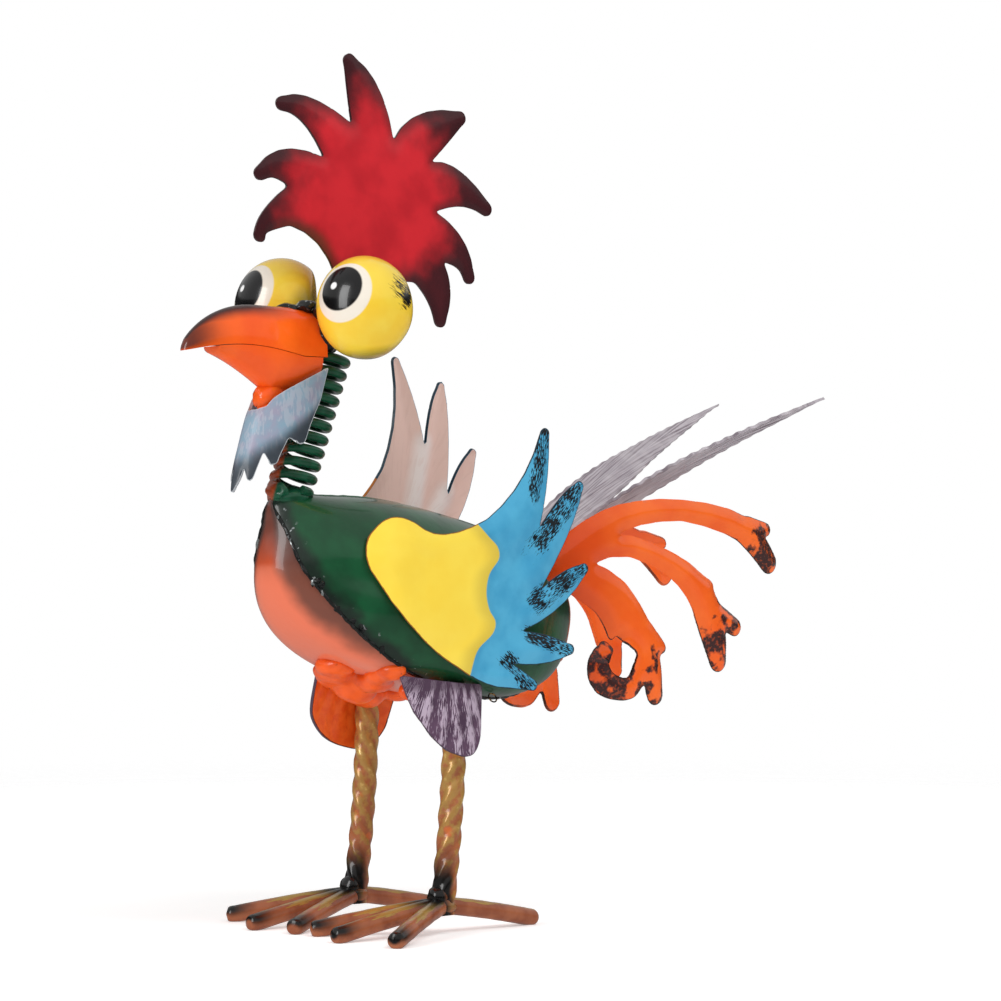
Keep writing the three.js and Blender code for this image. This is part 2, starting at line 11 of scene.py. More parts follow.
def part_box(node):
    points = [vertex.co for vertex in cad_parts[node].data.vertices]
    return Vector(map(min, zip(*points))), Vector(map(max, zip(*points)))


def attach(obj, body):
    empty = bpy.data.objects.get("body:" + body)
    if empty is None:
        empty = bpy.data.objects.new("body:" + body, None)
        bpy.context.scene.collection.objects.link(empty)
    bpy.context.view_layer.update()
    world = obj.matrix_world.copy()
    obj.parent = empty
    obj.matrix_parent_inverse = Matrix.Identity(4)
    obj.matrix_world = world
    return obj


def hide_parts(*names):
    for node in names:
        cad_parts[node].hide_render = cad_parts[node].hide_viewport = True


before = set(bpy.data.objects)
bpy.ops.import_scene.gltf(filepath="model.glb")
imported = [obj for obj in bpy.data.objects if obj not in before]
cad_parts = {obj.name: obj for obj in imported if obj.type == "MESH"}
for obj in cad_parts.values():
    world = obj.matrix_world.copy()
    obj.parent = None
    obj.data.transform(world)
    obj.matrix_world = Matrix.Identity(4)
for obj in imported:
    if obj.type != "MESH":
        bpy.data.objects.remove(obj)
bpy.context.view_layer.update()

# Driving sizes: those of the solids are the same as in the frame, the others shape welds and relief
SIDES = {1: "left", -1: "right"}
SHEET = 1.4
BODY = {"y": 12, "z": 153, "half_length": 90, "above": 39, "below": 45,
        "half_width": 40, "tilt": 12}
BODY_POWER = {"above": 2.5, "below": 2.2}
NECK = {"turn": 149, "spread": 14, "swell": 0.13, "half_width": 15}
BREAST = {"from": 150, "to": 330, "half_width": 31, "tip": 1.5, "fullness": 1.05}
EYE = {"x": 31, "y": -44, "z_left": 281, "z_right": 285, "width": 43, "height": 46.5, "uneven": 0.014}
EYE_DENT = {"facing": Vector((0.656, 0.754, 0)), "from": 13, "depth": 3.4}
EYE_MARKS = {
    "left": {"gaze": (0.29, -0.9, 0.35), "white": (0.33, -0.9, 0.28), "dot": (0.14, -0.915, 0.38),
             "scratch": (0.885, 0.35, 0.32), "shade": (0, 0.2, -1)},
    "right": {"gaze": (-0.04, -0.94, 0.33), "white": (0.04, -0.95, 0.31), "dot": (-0.16, -0.91, 0.38),
              "scratch": (-0.93, 0.2, 0.3), "shade": (0.98, 0.15, -0.15)},
}
BEAK = {"back": -48, "tip": -121.5, "mouth": 259.5, "rise": 4, "ridge": 282, "hook": 0.55,
        "half_width": 13, "tip_width": 1.8, "tip_height": 1.5, "gap": 0.15}
JAW = {"depth": 17, "from": 0.18, "deepest": 0.62, "rear": 0.25, "start": 0.2, "end": 0.96}
CHIN = {"place": (0, -73.5, 241), "radii": (6.4, 8.5, 7.2),
        "drop": (1.5, -77, 235), "drop_radii": (3.8, 3.8, 4.2)}
HEAD_WELDS = [((0, -44, 268), (10, 7, 7)), ((9.5, -50, 274), (3.4, 3.0, 6.5)),
              ((-9.5, -50, 277), (3.4, 3.0, 6.5)), ((0, -35, 284), (8, 4, 4)),
              ((2, -47, 279), (7, 3, 2.5)), ((-2, -62, 281.5), (5, 5.5, 2.6)),
              ((2, -55, 282.5), (6, 5, 3.2)), ((8, -50.5, 281), (4.5, 4, 4)),
              ((11.5, -50.5, 272), (3, 3.2, 7))]
COMB = {"pillow": 0.9, "pillow_reach": 5, "wave": 0.5, "wave_from": (286, 310)}
SPRING = {"wire": 4.4, "coil": 17.2, "turns": 10.5, "base": (0, -62, 200), "top": (0, -40.2, 262.3)}
LEG = {"x": 32, "bottom": 8.5, "top": 113, "bow": 7.5, "bow_top": 90, "width": 10.6, "twist": 44}
LEG_TWIST = {"corner_power": 3.2, "flats": 0.475, "dents": 0.03, "rib": 0.2}
TOE = {"radius": 4, "front": 60, "hind": 57, "arch": 12.5, "tip": 3.4}
TOE_FORM = {"level_from": 0.93, "slope_power": 1.25, "tip_power": 2.6, "spread": 1.04, "uneven": 0.03}
TOE_TURNS = {"left": {"outer": 30, "middle": -3, "inner": -30, "hind": 180},
             "right": {"outer": 40, "middle": 2, "inner": -24, "hind": 180}}
WING = {"x": 41.5, "front_curl": 0.0035, "flare": 0.06, "flat_from": 15, "clear": 1.6}
WING_PRESS = {"left": (24, 44), "right": (4, 20), "slope": 0.28, "reach": 7.5,
              "hem": 0.5, "hem_reach": 2}
RIGHT_WING = {"turn": 30, "back": 26, "up": 16, "pivot": (-10, 155)}
WING_BORDER = [(8.1, 116), (9.3, 121), (12.8, 128.5), (20.8, 135.2), (22.6, 140.7), (19.1, 146.1),
               (17.4, 154), (19.1, 162.5), (24.3, 169.4), (23.1, 175), (18, 179.4), (12.7, 185),
               (8, 190)]
WING_FAN = (6, 148)
# Where the feathers are brushed with black: the tip, the end of the strokes and their half width
WING_BRUSHED = [((51.1, 226.4), (42.3, 194), 4.2), ((70.6, 202.4), (41.1, 171.1), 5.5),
                ((71.9, 166.3), (40.2, 146.1), 6), ((64.7, 127.9), (37.5, 136.1), 4.5),
                ((42.9, 110.6), (25.7, 126.3), 4.5)]
BRUSH_SPACING = 40
WING_GROOVES = [((48.7, 184.3), (22, 154)), ((49.8, 156.1), (24, 143)), ((38.7, 136.4), (20, 132)),
                ((32.9, 121.3), (18, 121))]
TAIL = {"x": 39, "curl": 0.0036, "curl_from": 120, "right_drop": 6, "right_back": 5,
        "right_cleaner": 13, "dome": 3.4, "dome_reach": 7}
TAIL_ENDS = [(201, 176), (171, 127), (180, 137), (126, 109), (97, 111), (93, 119)]
SCROLL = {"centre": (105.5, 119), "radius": 10.5, "lip": 3.0, "lip_reach": 4.0}
QUILL = {"root": (7, 78, 169), "tip": (38, 249, 252), "width": 21.5, "widest": 0.35, "arch": 5,
         "roll": 35, "point_from": 0.6}
QUILL_CRIMP = {"wave": 7.8, "sweep": 3, "shift": 0.8, "outline": 0.013, "height": 0.28,
               "shaft": 0.5, "shaft_half": 1.3}
BEARD = {"depth": 25, "half_width": 14, "front_top": (-79, 247), "lean": 0.3, "arm": 31,
         "behind": (0, -50, 225)}
BEARD_RELIEF = {"pillow": 0.7, "pillow_reach": 2.5, "hem": 205, "hem_curve": 0.028, "hem_fade": 26}
THIGH = {"x": 39.5, "cup": 9, "cup_half": 26, "flare": 0.1, "middle": (2, 95), "right_stretch": 1.14,
         "flutes": 43, "flute_left": 0.45, "flute_right": 0.2}
# The right tuft's front is bent forward, and the top of it curls up and in
RIGHT_TUFT = {"curl_z": (96, 112), "curl_y": (-14, 12), "curl_in": 4, "curl_up": 7,
              "forward": (5.5, 1.0), "forward_z": (92, 118), "forward_y": (-20, 5)}
HIP_LUMPS = {
    "left": [((27, 6, 107), (7.5, 8.5, 7)), ((24, -10, 109.5), (5.5, 9, 5)),
             ((24, 18, 106), (5, 8, 4.5))],
    "right": [((-1, -35, 121), (11, 10, 5.5)), ((-9, -28.5, 118), (12, 11, 6.5)),
              ((-20, -20, 116), (11, 10, 7)), ((-9, -17, 111.5), (11, 11, 9)),
              ((-19, -8, 110.5), (10, 9, 8)), ((6, -18, 114), (11, 9, 6)), ((15, -22, 117), (9, 7, 5)),
              ((24, -23, 119), (8.5, 7, 5)), ((-28, 4, 107), (9, 10, 8)), ((-24, 20, 107), (6, 9, 5))],
}
HIP_MELT = {"roughness": 0.1, "voxel": 0.9, "share": 0.5, "rounds": 45}
COLLAR_LUMPS = [((0, -62, 195.5), (9.5, 10.5, 6.5), 0.15), ((1, -70, 199), (6.5, 4.0, 5.0), 0.35)]
ANKLE_LUMPS = [((0, 12.6), (6.6, 6.8, 4.6)), ((-2.6, 16.5), (5.4, 4.2, 5.0))]
SEAM_BEAD = {"inset": 4, "radius": 0.8, "uneven": 0.45}
SPATTER = {"count": 7, "turn": (165, 285), "aside": (-0.5, 1.5), "size": (1.0, 1.5),
           "stretch": (1.2, 2.4), "sunk": 0.8, "roughness": 0.5}
BACK_SEAM = {"from": -28, "to": 148, "sunk": 0.2, "radius": 0.75, "uneven": 0.2}
LOOP = {"centre": (29, 33, 105.5), "radius": 2.2, "wire": 0.7}
COMB_FAN = (-17, 335)
THIGH_FAN = (2, 150)
# Brush strokes in a fan are measured along an arc of this radius
STROKE_RADIUS = 55.0

# Mesh fineness: faces along and across each wrapped piece, and the grid step of each cut sheet
GRIDS = {"shell": (144, 44), "breast": (90, 36), "beak": (56, 40), "quill": (260, 22), "leg": (190, 40),
         "toe": (64, 24), "seam_bead": (220, 8), "back_seam": (160, 8), "eye": (72, 48)}
STEPS = {"comb": 1.8, "beard": 1.3, "wing": 1.6, "tail": 1.3, "thigh": 1.3}
OUTLINE_STEP = 1.4
OUTLINE_ROUNDS = {"comb": 12, "tail": 14, "plain": 4}
SHARP_ANGLE = 40

# Studio, in metres
FLOOR_RADIUS = 1.3
SOFTBOX = {"size": (0.5, 1.0), "aim": (0, 0, 0.2), "gloss": 0.6}
LIGHTS = {"left softbox": {"place": (0.0, -1.5, 0.75), "power": 9},
          "right softbox": {"place": (1.1, 0.15, 1.7), "power": 12}}

# The camera of the photograph: a long lens a little above the belly, round to the bird's left front
CAMERA = {"azimuth": 51, "distance": 1350, "height": 160, "lens": 105, "film": 36,
          "yaw": 2.02, "pitch": 1.55}

# From drawing millimetres to the frame's metres, found from the left eye
low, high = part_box("eye_left")
ORIGIN = (low + high) / 2 - Vector((EYE["x"], EYE["y"], EYE["z_left"])) * 0.001
TO_FRAME = Matrix.Translation(ORIGIN) @ Matrix.Scale(0.001, 4)
TO_DRAWING = TO_FRAME.inverted()


# Small helpers for numbers

def mix(first, second, share):
    return first + (second - first) * share


def smooth(low_end, high_end, value):
    part = min(1.0, max(0.0, (value - low_end) / (high_end - low_end)))
    return part * part * (3 - 2 * part)


def signed_power(value, power):
    return math.copysign(abs(value) ** power, value)


def curve_at(points, place):
    """A smooth curve through (value, place) points, read at one place."""
    last = len(points) - 1
    i = max(0, min(last - 1, sum(1 for p in points if p[1] <= place) - 1))
    before, here, there, after = [points[max(0, min(last, i + k))] for k in (-1, 0, 1, 2)]
    span = there[1] - here[1]
    part = min(1.0, max(0.0, (place - here[1]) / span))
    slope_here = span * (there[0] - before[0]) / (there[1] - before[1])
    slope_there = span * (after[0] - here[0]) / (after[1] - here[1])
    square, cube = part ** 2, part ** 3
    return ((2 * cube - 3 * square + 1) * here[0] + (cube - 2 * square + part) * slope_here
            + (3 * square - 2 * cube) * there[0] + (cube - square) * slope_there)


# Meshes: grids wrapped to a form, sheets cut to the frame's outlines, rods and weld lumps

def wrapped_grid(columns, rows, place):
    """A grid with every corner set by place(u, v), u and v from 0 to 1; touching corners are welded."""
    bm = bmesh.new()
    bmesh.ops.create_grid(bm, x_segments=columns, y_segments=rows, size=0.5)
    for vert in bm.verts:
        vert.co = place(vert.co.x + 0.5, vert.co.y + 0.5)
    weld(bm)
    return bm


def weld(bm, reach=0.002):
    bmesh.ops.remove_doubles(bm, verts=bm.verts, dist=reach)
    bmesh.ops.dissolve_degenerate(bm, edges=bm.edges, dist=reach)
    bmesh.ops.recalc_face_normals(bm, faces=bm.faces)


def rod(line, radius, grid, upright):
    """A round bar along line(t) with radius(t, angle); a radius of nought closes an end."""
    def place(u, v):
        ahead = (line(u + 0.004) - line(u - 0.004)).normalized()
        across = ahead.cross(upright).normalized()
        above = across.cross(ahead)
        angle = 2 * math.pi * v
        return line(u) + (across * math.cos(angle) + above * math.sin(angle)) * radius(u, angle)
    return wrapped_grid(*grid, place)


def add_lump(bm, centre, radii, seed, roughness=0.22):
    """One weld lump: a ball pushed in and out by noise, then squashed and set in place."""
    made = bmesh.ops.create_icosphere(bm, subdivisions=3, radius=1.0)["verts"]
    for vert in made:
        vert.co *= 1 + roughness * noise.noise(vert.co * 1.6 + Vector((seed, 2 * seed, 0)))
    bmesh.ops.scale(bm, vec=radii, verts=made)
    bmesh.ops.translate(bm, vec=centre, verts=made)


def frame_copy(part_name):
    """A merged copy of one frame solid, in drawing millimetres."""
    bm = bmesh.new()
    bm.from_mesh(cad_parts[part_name].data)
    bmesh.ops.transform(bm, matrix=TO_DRAWING, verts=bm.verts)
    bmesh.ops.remove_doubles(bm, verts=bm.verts, dist=0.01)
    bm.normal_update()
    return bm


def outer_skin(part_name, facing, flatten):
    """The outline of a frame sheet as one flat face: its outer faces laid flat and joined."""
    bm = frame_copy(part_name)
    hidden = [face for face in bm.faces if facing(face) < 0.3]
    bmesh.ops.delete(bm, geom=hidden, context="FACES")
    # slivers of no area show as hidden too; the slits they leave are closed again
    bmesh.ops.holes_fill(bm, edges=[edge for edge in bm.edges if edge.is_boundary], sides=16)
    for vert in bm.verts:
        vert.co = flatten(vert.co)
    bmesh.ops.dissolve_faces(bm, faces=bm.faces[:])
    return bm


def round_outline(bm, spacing, rounds):
    """Evens out the facets of an outline, so its edge runs in smooth curves."""
    bmesh.ops.remove_doubles(bm, verts=bm.verts, dist=spacing * 0.3)
    for edge in bm.edges[:]:
        cuts = int(edge.calc_length() / spacing)
        if cuts:
            bmesh.ops.subdivide_edges(bm, edges=[edge], cuts=cuts)
    for factor in (0.5, -0.52) * rounds:
        bmesh.ops.smooth_vert(bm, verts=bm.verts, factor=factor,
                              use_axis_x=True, use_axis_y=True, use_axis_z=True)


def cut_grid(bm, step):
    """Cuts a flat sheet into small squares, so that it can be bent."""
    for axis in (1, 2):
        places = [vert.co[axis] for vert in bm.verts]
        across = Vector((0, float(axis == 1), float(axis == 2)))
        at = min(places) + step / 2
        while at < max(places):
            everything = bm.verts[:] + bm.edges[:] + bm.faces[:]
            bmesh.ops.bisect_plane(bm, geom=everything, dist=step * 0.08,
                                   plane_co=across * at, plane_no=across)
            at += step
    bmesh.ops.remove_doubles(bm, verts=bm.verts, dist=step * 0.12)


def measure_edge(bm, only=None):
    """Each corner's distance from the sheet's edge, kept on the mesh for relief and paint."""
    rim = [vert for vert in bm.verts if vert.is_boundary and (only is None or only(vert.co))]
    tree = KDTree(len(rim))
    for i, vert in enumerate(rim):
        tree.insert(vert.co, i)
    tree.balance()
    distances = []
    for vert in bm.verts:
        nearest = rim[tree.find(vert.co)[1]]
        best = (vert.co - nearest.co).length
        for edge in nearest.link_edges:
            if edge.is_boundary:
                start, end = edge.verts[0].co, edge.verts[1].co
                point, part = intersect_point_line(vert.co, start, end)
                if 0 <= part <= 1:
                    best = min(best, (vert.co - point).length)
        distances.append(best)
    return distances


def flat_sheet(part_name, facing, flatten, step, rounds):
    """A frame sheet's outline laid flat and cut into a grid, with its edge distance measured."""
    bm = outer_skin(part_name, facing, flatten)
    round_outline(bm, OUTLINE_STEP, rounds)
    cut_grid(bm, step)
    distances = measure_edge(bm)
    edge_layer = bm.verts.layers.float.new("edge")
    for vert, distance in zip(bm.verts, distances):
        vert[edge_layer] = distance
    return bm, edge_layer


def side_sheet(part_name, side, step, rounds=OUTLINE_ROUNDS["plain"]):
    """A sheet that stands in the side view, laid flat at X = 0."""
    def facing(face):
        return face.normal.x * side

    def flatten(co):
        return Vector((0, co.y, co.z))
    return flat_sheet(part_name, facing, flatten, step, rounds)


def make_piece(name, bm, paints, node=None, sheet=0.0):
    """One finished piece, with its paints and smooth shading, hung from the root empty, with the frame
    solid it stands for hidden.
    """
    bmesh.ops.transform(bm, matrix=TO_FRAME, verts=bm.verts)
    mesh = bpy.data.meshes.new(name)
    bm.to_mesh(mesh)
    bm.free()
    piece = bpy.data.objects.new(name, mesh)
    bpy.context.scene.collection.objects.link(piece)
    for paint in paints:
        mesh.materials.append(paint)
    if sheet:
        thicken(piece, sheet, len(paints) > 1)
    mesh = piece.data
    mesh.polygons.foreach_set("use_smooth", [True] * len(mesh.polygons))
    mesh.set_sharp_from_angle(angle=math.radians(SHARP_ANGLE))
    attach(piece, "root")
    if node:
        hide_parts(node)
    return piece


def thicken(piece, sheet, two_paints):
    """Gives a sheet its thickness, with the second paint on its inner face."""
    wall = piece.modifiers.new("sheet", "SOLIDIFY")
    wall.thickness = sheet * 0.001
    wall.offset = -1
    wall.material_offset = 1 if two_paints else 0
    finished = piece.evaluated_get(bpy.context.evaluated_depsgraph_get())
    piece.data = bpy.data.meshes.new_from_object(finished)
    piece.modifiers.clear()


# Shader nodes: short calls that put one node in a tree

def colour(code):
    parts = [int(code[i:i + 2], 16) / 255 for i in (1, 3, 5)]
    linear = [part / 12.92 if part < 0.04045 else ((part + 0.055) / 1.055) ** 2.4 for part in parts]
    return (*linear, 1.0)


def node(tree, kind, inputs=None, **settings):
    made = tree.nodes.new("ShaderNode" + kind)
    for name, value in settings.items():
        setattr(made, name, value)
    for key, value in (inputs or {}).items():
        if isinstance(value, bpy.types.NodeSocket):
            tree.links.new(value, made.inputs[key])
        else:
            made.inputs[key].default_value = value
    return made


def calc(tree, operation, first, second=0.0, third=0.0):
    return node(tree, "Math", {0: first, 1: second, 2: third}, operation=operation).outputs[0]


def fade(tree, value, start, end):
    """0 at start to 1 at end, smoothly; start may be the larger."""
    inputs = {"Value": value, "From Min": start, "From Max": end}
    return node(tree, "MapRange", inputs, interpolation_type="SMOOTHSTEP").outputs[0]


def over(tree, share, under, top):
    return node(tree, "Mix", {0: share, 6: under, 7: top}, data_type="RGBA").outputs[2]


def number(tree, share, under, top):
    return node(tree, "Mix", {0: share, 2: under, 3: top}, data_type="FLOAT").outputs[0]


def grain(tree, position, scale, detail=3.0):
    return node(tree, "TexNoise", {"Vector": position, "Scale": scale, "Detail": detail}).outputs[0]


def split(tree, position):
    return node(tree, "SeparateXYZ", {0: position}).outputs


def joined(tree, x, y, z):
    return node(tree, "CombineXYZ", {0: x, 1: y, 2: z}).outputs[0]


def measured(tree, name):
    return node(tree, "Attribute", attribute_name=name).outputs["Fac"]


def away(tree, position, point):
    return node(tree, "VectorMath", {0: position, 1: point}, operation="DISTANCE").outputs["Value"]


# Shared effects as node groups

def new_group(name, inputs, outputs):
    group = bpy.data.node_groups.new(name, "ShaderNodeTree")
    for label, kind, default in inputs:
        socket = group.interface.new_socket(label, in_out="INPUT", socket_type="NodeSocket" + kind)
        if default is not None:
            socket.default_value = default
    for label, kind in outputs:
        group.interface.new_socket(label, in_out="OUTPUT", socket_type="NodeSocket" + kind)
    start = group.nodes.new("NodeGroupInput").outputs
    end = group.nodes.new("NodeGroupOutput").inputs
    return group, start, end


def millimetres_group():
    """Where a point is in the drawing frame, in millimetres."""
    group, _, end = new_group("drawing millimetres", [], [("Position", "Vector")])
    place = node(group, "TexCoord").outputs["Object"]
    moved = node(group, "VectorMath", {0: place, 1: ORIGIN}, operation="SUBTRACT").outputs[0]
    scaled = node(group, "VectorMath", {0: moved, "Scale": 1000.0}, operation="SCALE").outputs[0]
    group.links.new(scaled, end["Position"])
    return group


def dry_brush_group():
    """Broken strokes of a nearly dry brush. Strokes is across the stroke, then along it."""
    inputs = [("Strokes", "Vector", None), ("Coverage", "Float", 0.5), ("Stretch", "Float", 5.0),
              ("Fineness", "Float", 0.8)]
    group, start, end = new_group("dry brush", inputs, [("Mask", "Float")])
    parts = split(group, start["Strokes"])
    along = calc(group, "DIVIDE", parts[1], start["Stretch"])
    drawn = joined(group, parts[0], along, parts[2])
    fine = grain(group, drawn, start["Fineness"], 4.0)
    patches = grain(group, start["Strokes"], 0.12, 2.0)
    both = calc(group, "MULTIPLY_ADD", patches, 0.33, calc(group, "MULTIPLY", fine, 0.67))
    level = calc(group, "MULTIPLY_ADD", start["Coverage"], -0.42, 0.71)
    mask = fade(group, calc(group, "SUBTRACT", both, level), -0.02, 0.03)
    group.links.new(mask, end["Mask"])
    return group


def airbrush_group():
    """A soft sprayed fade from one distance to another, with a little drift."""
    inputs = [("Distance", "Float", 0.0), ("Clear", "Float", 0.0), ("Full", "Float", 1.0),
              ("Position", "Vector", None), ("Drift", "Float", 2.0)]
    group, start, end = new_group("airbrush", inputs, [("Mask", "Float")])
    wander = calc(group, "SUBTRACT", grain(group, start["Position"], 0.09, 2.0), 0.5)
    drift = calc(group, "MULTIPLY", start["Drift"], 4.0)
    distance = calc(group, "MULTIPLY_ADD", wander, drift, start["Distance"])
    group.links.new(fade(group, distance, start["Clear"], start["Full"]), end["Mask"])
    return group


def enamel_skin_group():
    """The slight waves and orange peel of thick brushed enamel."""
    inputs = [("Position", "Vector", None), ("Peel", "Float", 0.3), ("Waves", "Float", 0.5)]
    group, start, end = new_group("enamel skin", inputs, [("Normal", "Vector")])
    peel = calc(group, "MULTIPLY", grain(group, start["Position"], 0.7, 2.0), start["Peel"])
    waves = calc(group, "MULTIPLY", grain(group, start["Position"], 0.1, 2.0), start["Waves"])
    height = calc(group, "MULTIPLY_ADD", waves, 6.0, peel)
    bump = node(group, "Bump", {"Strength": 1.0, "Distance": 0.00012, "Height": height})
    group.links.new(bump.outputs[0], end["Normal"])
    return group


def worn_edge_group():
    """A broken line of another colour along a sheet's edge."""
    inputs = [("Edge", "Float", 0.0), ("Width", "Float", 1.0), ("Position", "Vector", None)]
    group, start, end = new_group("worn edge", inputs, [("Mask", "Float")])
    wander = calc(group, "SUBTRACT", grain(group, start["Position"], 0.35, 3.0), 0.5)
    swing = calc(group, "MULTIPLY", start["Width"], 0.9)
    rough = calc(group, "MULTIPLY_ADD", wander, swing, start["Edge"])
    mask = fade(group, rough, start["Width"], calc(group, "MULTIPLY", start["Width"], 0.5))
    group.links.new(mask, end["Mask"])
    return group


def fan_group():
    """Strokes that run out from a point in the side view: arc length across, radius along."""
    inputs = [("Position", "Vector", None), ("Y", "Float", 0.0), ("Z", "Float", 0.0)]
    group, start, end = new_group("fan strokes", inputs, [("Strokes", "Vector"), ("Radius", "Float")])
    parts = split(group, start["Position"])
    y = calc(group, "SUBTRACT", parts[1], start["Y"])
    z = calc(group, "SUBTRACT", parts[2], start["Z"])
    squares = calc(group, "ADD", calc(group, "MULTIPLY", y, y), calc(group, "MULTIPLY", z, z))
    radius = calc(group, "SQRT", squares)
    arc = calc(group, "MULTIPLY", calc(group, "ARCTAN2", z, y), STROKE_RADIUS)
    group.links.new(joined(group, arc, radius, parts[0]), end["Strokes"])
    group.links.new(radius, end["Radius"])
    return group


GROUPS = {"millimetres": millimetres_group(), "dry_brush": dry_brush_group(),
          "airbrush": airbrush_group(), "enamel_skin": enamel_skin_group(),
          "worn_edge": worn_edge_group(), "fan": fan_group()}


def effect(tree, name, inputs=None):
    return node(tree, "Group", inputs, node_tree=GROUPS[name]).outputs


def dry_brush(tree, strokes, coverage, stretch=5.0, fineness=0.8):
    inputs = {"Strokes": strokes, "Coverage": coverage, "Stretch": stretch, "Fineness": fineness}
    return effect(tree, "dry_brush", inputs)["Mask"]


def airbrush(tree, position, distance, clear, full, drift=2.0):
    inputs = {"Distance": distance, "Clear": clear, "Full": full,
              "Position": position, "Drift": drift}
    return effect(tree, "airbrush", inputs)["Mask"]


def worn_edge(tree, position, edge, width):
    return effect(tree, "worn_edge", {"Edge": edge, "Width": width, "Position": position})["Mask"]


# Paints

def new_paint(name, gloss=0.3, coat=0.5, peel=0.25, waves=0.4):
    """An enamel with its skin; the maker sets its base colour."""
    paint = bpy.data.materials.new(name)
    paint.use_nodes = True
    tree = paint.node_tree
    shader = tree.nodes["Principled BSDF"]
    shader.inputs["Roughness"].default_value = gloss
    shader.inputs["Specular IOR Level"].default_value = 0.35
    shader.inputs["Coat Weight"].default_value = 0.5 * coat
    shader.inputs["Coat Roughness"].default_value = 0.04
    position = effect(tree, "millimetres")["Position"]
    skin = effect(tree, "enamel_skin", {"Position": position, "Peel": peel, "Waves": waves})
    tree.links.new(skin["Normal"], shader.inputs["Normal"])
    return paint, tree, shader, position


def set_input(tree, shader, name, value):
    tree.links.new(value, shader.inputs[name])


def mottled(tree, position, plain, deeper, scale=0.06):
    """One paint that drifts between two near colours."""
    share = fade(tree, grain(tree, position, scale, 3.0), 0.35, 0.7)
    return over(tree, share, colour(plain), colour(deeper))


def green_paint():
    """Deep green with a painted highlight along the top ridge, and a sooty, weld-flecked band along the
    breast seam.
    """
    paint, tree, shader, position = new_paint("green enamel", 0.3, 1.1, 0.2, 0.4)
    base = mottled(tree, position, "#125230", "#0c4226")
    # painted highlight: a lighter green band along the top ridge of the body
    ridge = fade(tree, measured(tree, "ridge"), 5.0, 0.5)
    base = over(tree, calc(tree, "MULTIPLY", ridge, 0.35), base, colour("#2f7350"))
    seam = measured(tree, "seam")
    soot = airbrush(tree, position, seam, 9.0, 1.5, 3.0)
    base = over(tree, calc(tree, "MULTIPLY", soot, 0.85), base, colour("#181b1b"))
    flecks = fade(tree, grain(tree, position, 0.3, 5.0), 0.66, 0.68)
    near = fade(tree, seam, 7.0, 1.0)
    silver = calc(tree, "MULTIPLY", flecks, near)
    base = over(tree, silver, base, colour("#b4bbbb"))
    set_input(tree, shader, "Base Color", base)
    set_input(tree, shader, "Metallic", calc(tree, "MULTIPLY", silver, 0.8))
    return paint


def spring_paint():
    """Green wire, rusty orange where the front of the lowest coils was heated."""
    paint, tree, shader, position = new_paint("spring enamel", 0.28, 0.9, 0.2, 0.2)
    parts = split(tree, position)
    base = mottled(tree, position, "#155339", "#0f4029", 0.2)
    lean = calc(tree, "MULTIPLY_ADD", parts[2], -0.351, parts[1])
    lean = calc(tree, "MULTIPLY_ADD", parts[0], 0.87, lean)
    front = fade(tree, lean, -139.0, -141.2)
    low_coils = fade(tree, parts[2], 222.0, 217.0)
    rust = over(tree, grain(tree, position, 0.3, 3.0), colour("#c4501f"), colour("#5a2413"))
    base = over(tree, calc(tree, "MULTIPLY", front, low_coils), base, rust)
    set_input(tree, shader, "Base Color", base)
    return paint


def breast_paint():
    """Salmon, sprayed orange above a sharp level line that is a painted reflection edge, lighter below
    it and pinker toward the bottom as a painted reflection of the floor, with brown at the neck and a
    grey shade along its edges.
    """
    paint, tree, shader, position = new_paint("salmon enamel", 0.3, 0.8, 0.2, 0.4)
    along = measured(tree, "along")
    side = measured(tree, "side")
    height = split(tree, position)[2]
    # painted reflection: orange above a sharp level line, lighter salmon below it
    base = over(tree, fade(tree, height, 168.0, 164.5), colour("#dc5526"), colour("#e67453"))
    # painted reflection of the pale floor: pinker toward the bottom
    base = over(tree, fade(tree, along, 0.45, 0.75), base, colour("#dc9486"))
    start = number(tree, fade(tree, along, 0.12, 0.6), 0.2, 0.72)
    edge = airbrush(tree, position, calc(tree, "SUBTRACT", side, start), 0.0, 0.42, 0.06)
    base = over(tree, calc(tree, "MULTIPLY", edge, 0.85), base, colour("#573a31"))
    top = airbrush(tree, position, along, 0.26, 0.08, 0.01)
    base = over(tree, calc(tree, "MULTIPLY", top, 0.85), base, colour("#4a3a36"))
    set_input(tree, shader, "Base Color", base)
    return paint


def toward(tree, position, centre, direction):
    """How nearly a point of a ball looks in a direction: the cosine of the angle between."""
    out = node(tree, "VectorMath", {0: position, 1: centre}, operation="SUBTRACT").outputs[0]
    unit = node(tree, "VectorMath", {0: out}, operation="NORMALIZE").outputs[0]
    aim = Vector(direction).normalized()
    return node(tree, "VectorMath", {0: unit, 1: aim}, operation="DOT_PRODUCT").outputs["Value"]


def disc(tree, position, centre, direction, degrees, soft=1.2):
    cosine = toward(tree, position, centre, direction)
    inner, outer = math.cos(math.radians(degrees - soft)), math.cos(math.radians(degrees + soft))
    return fade(tree, cosine, outer, inner)


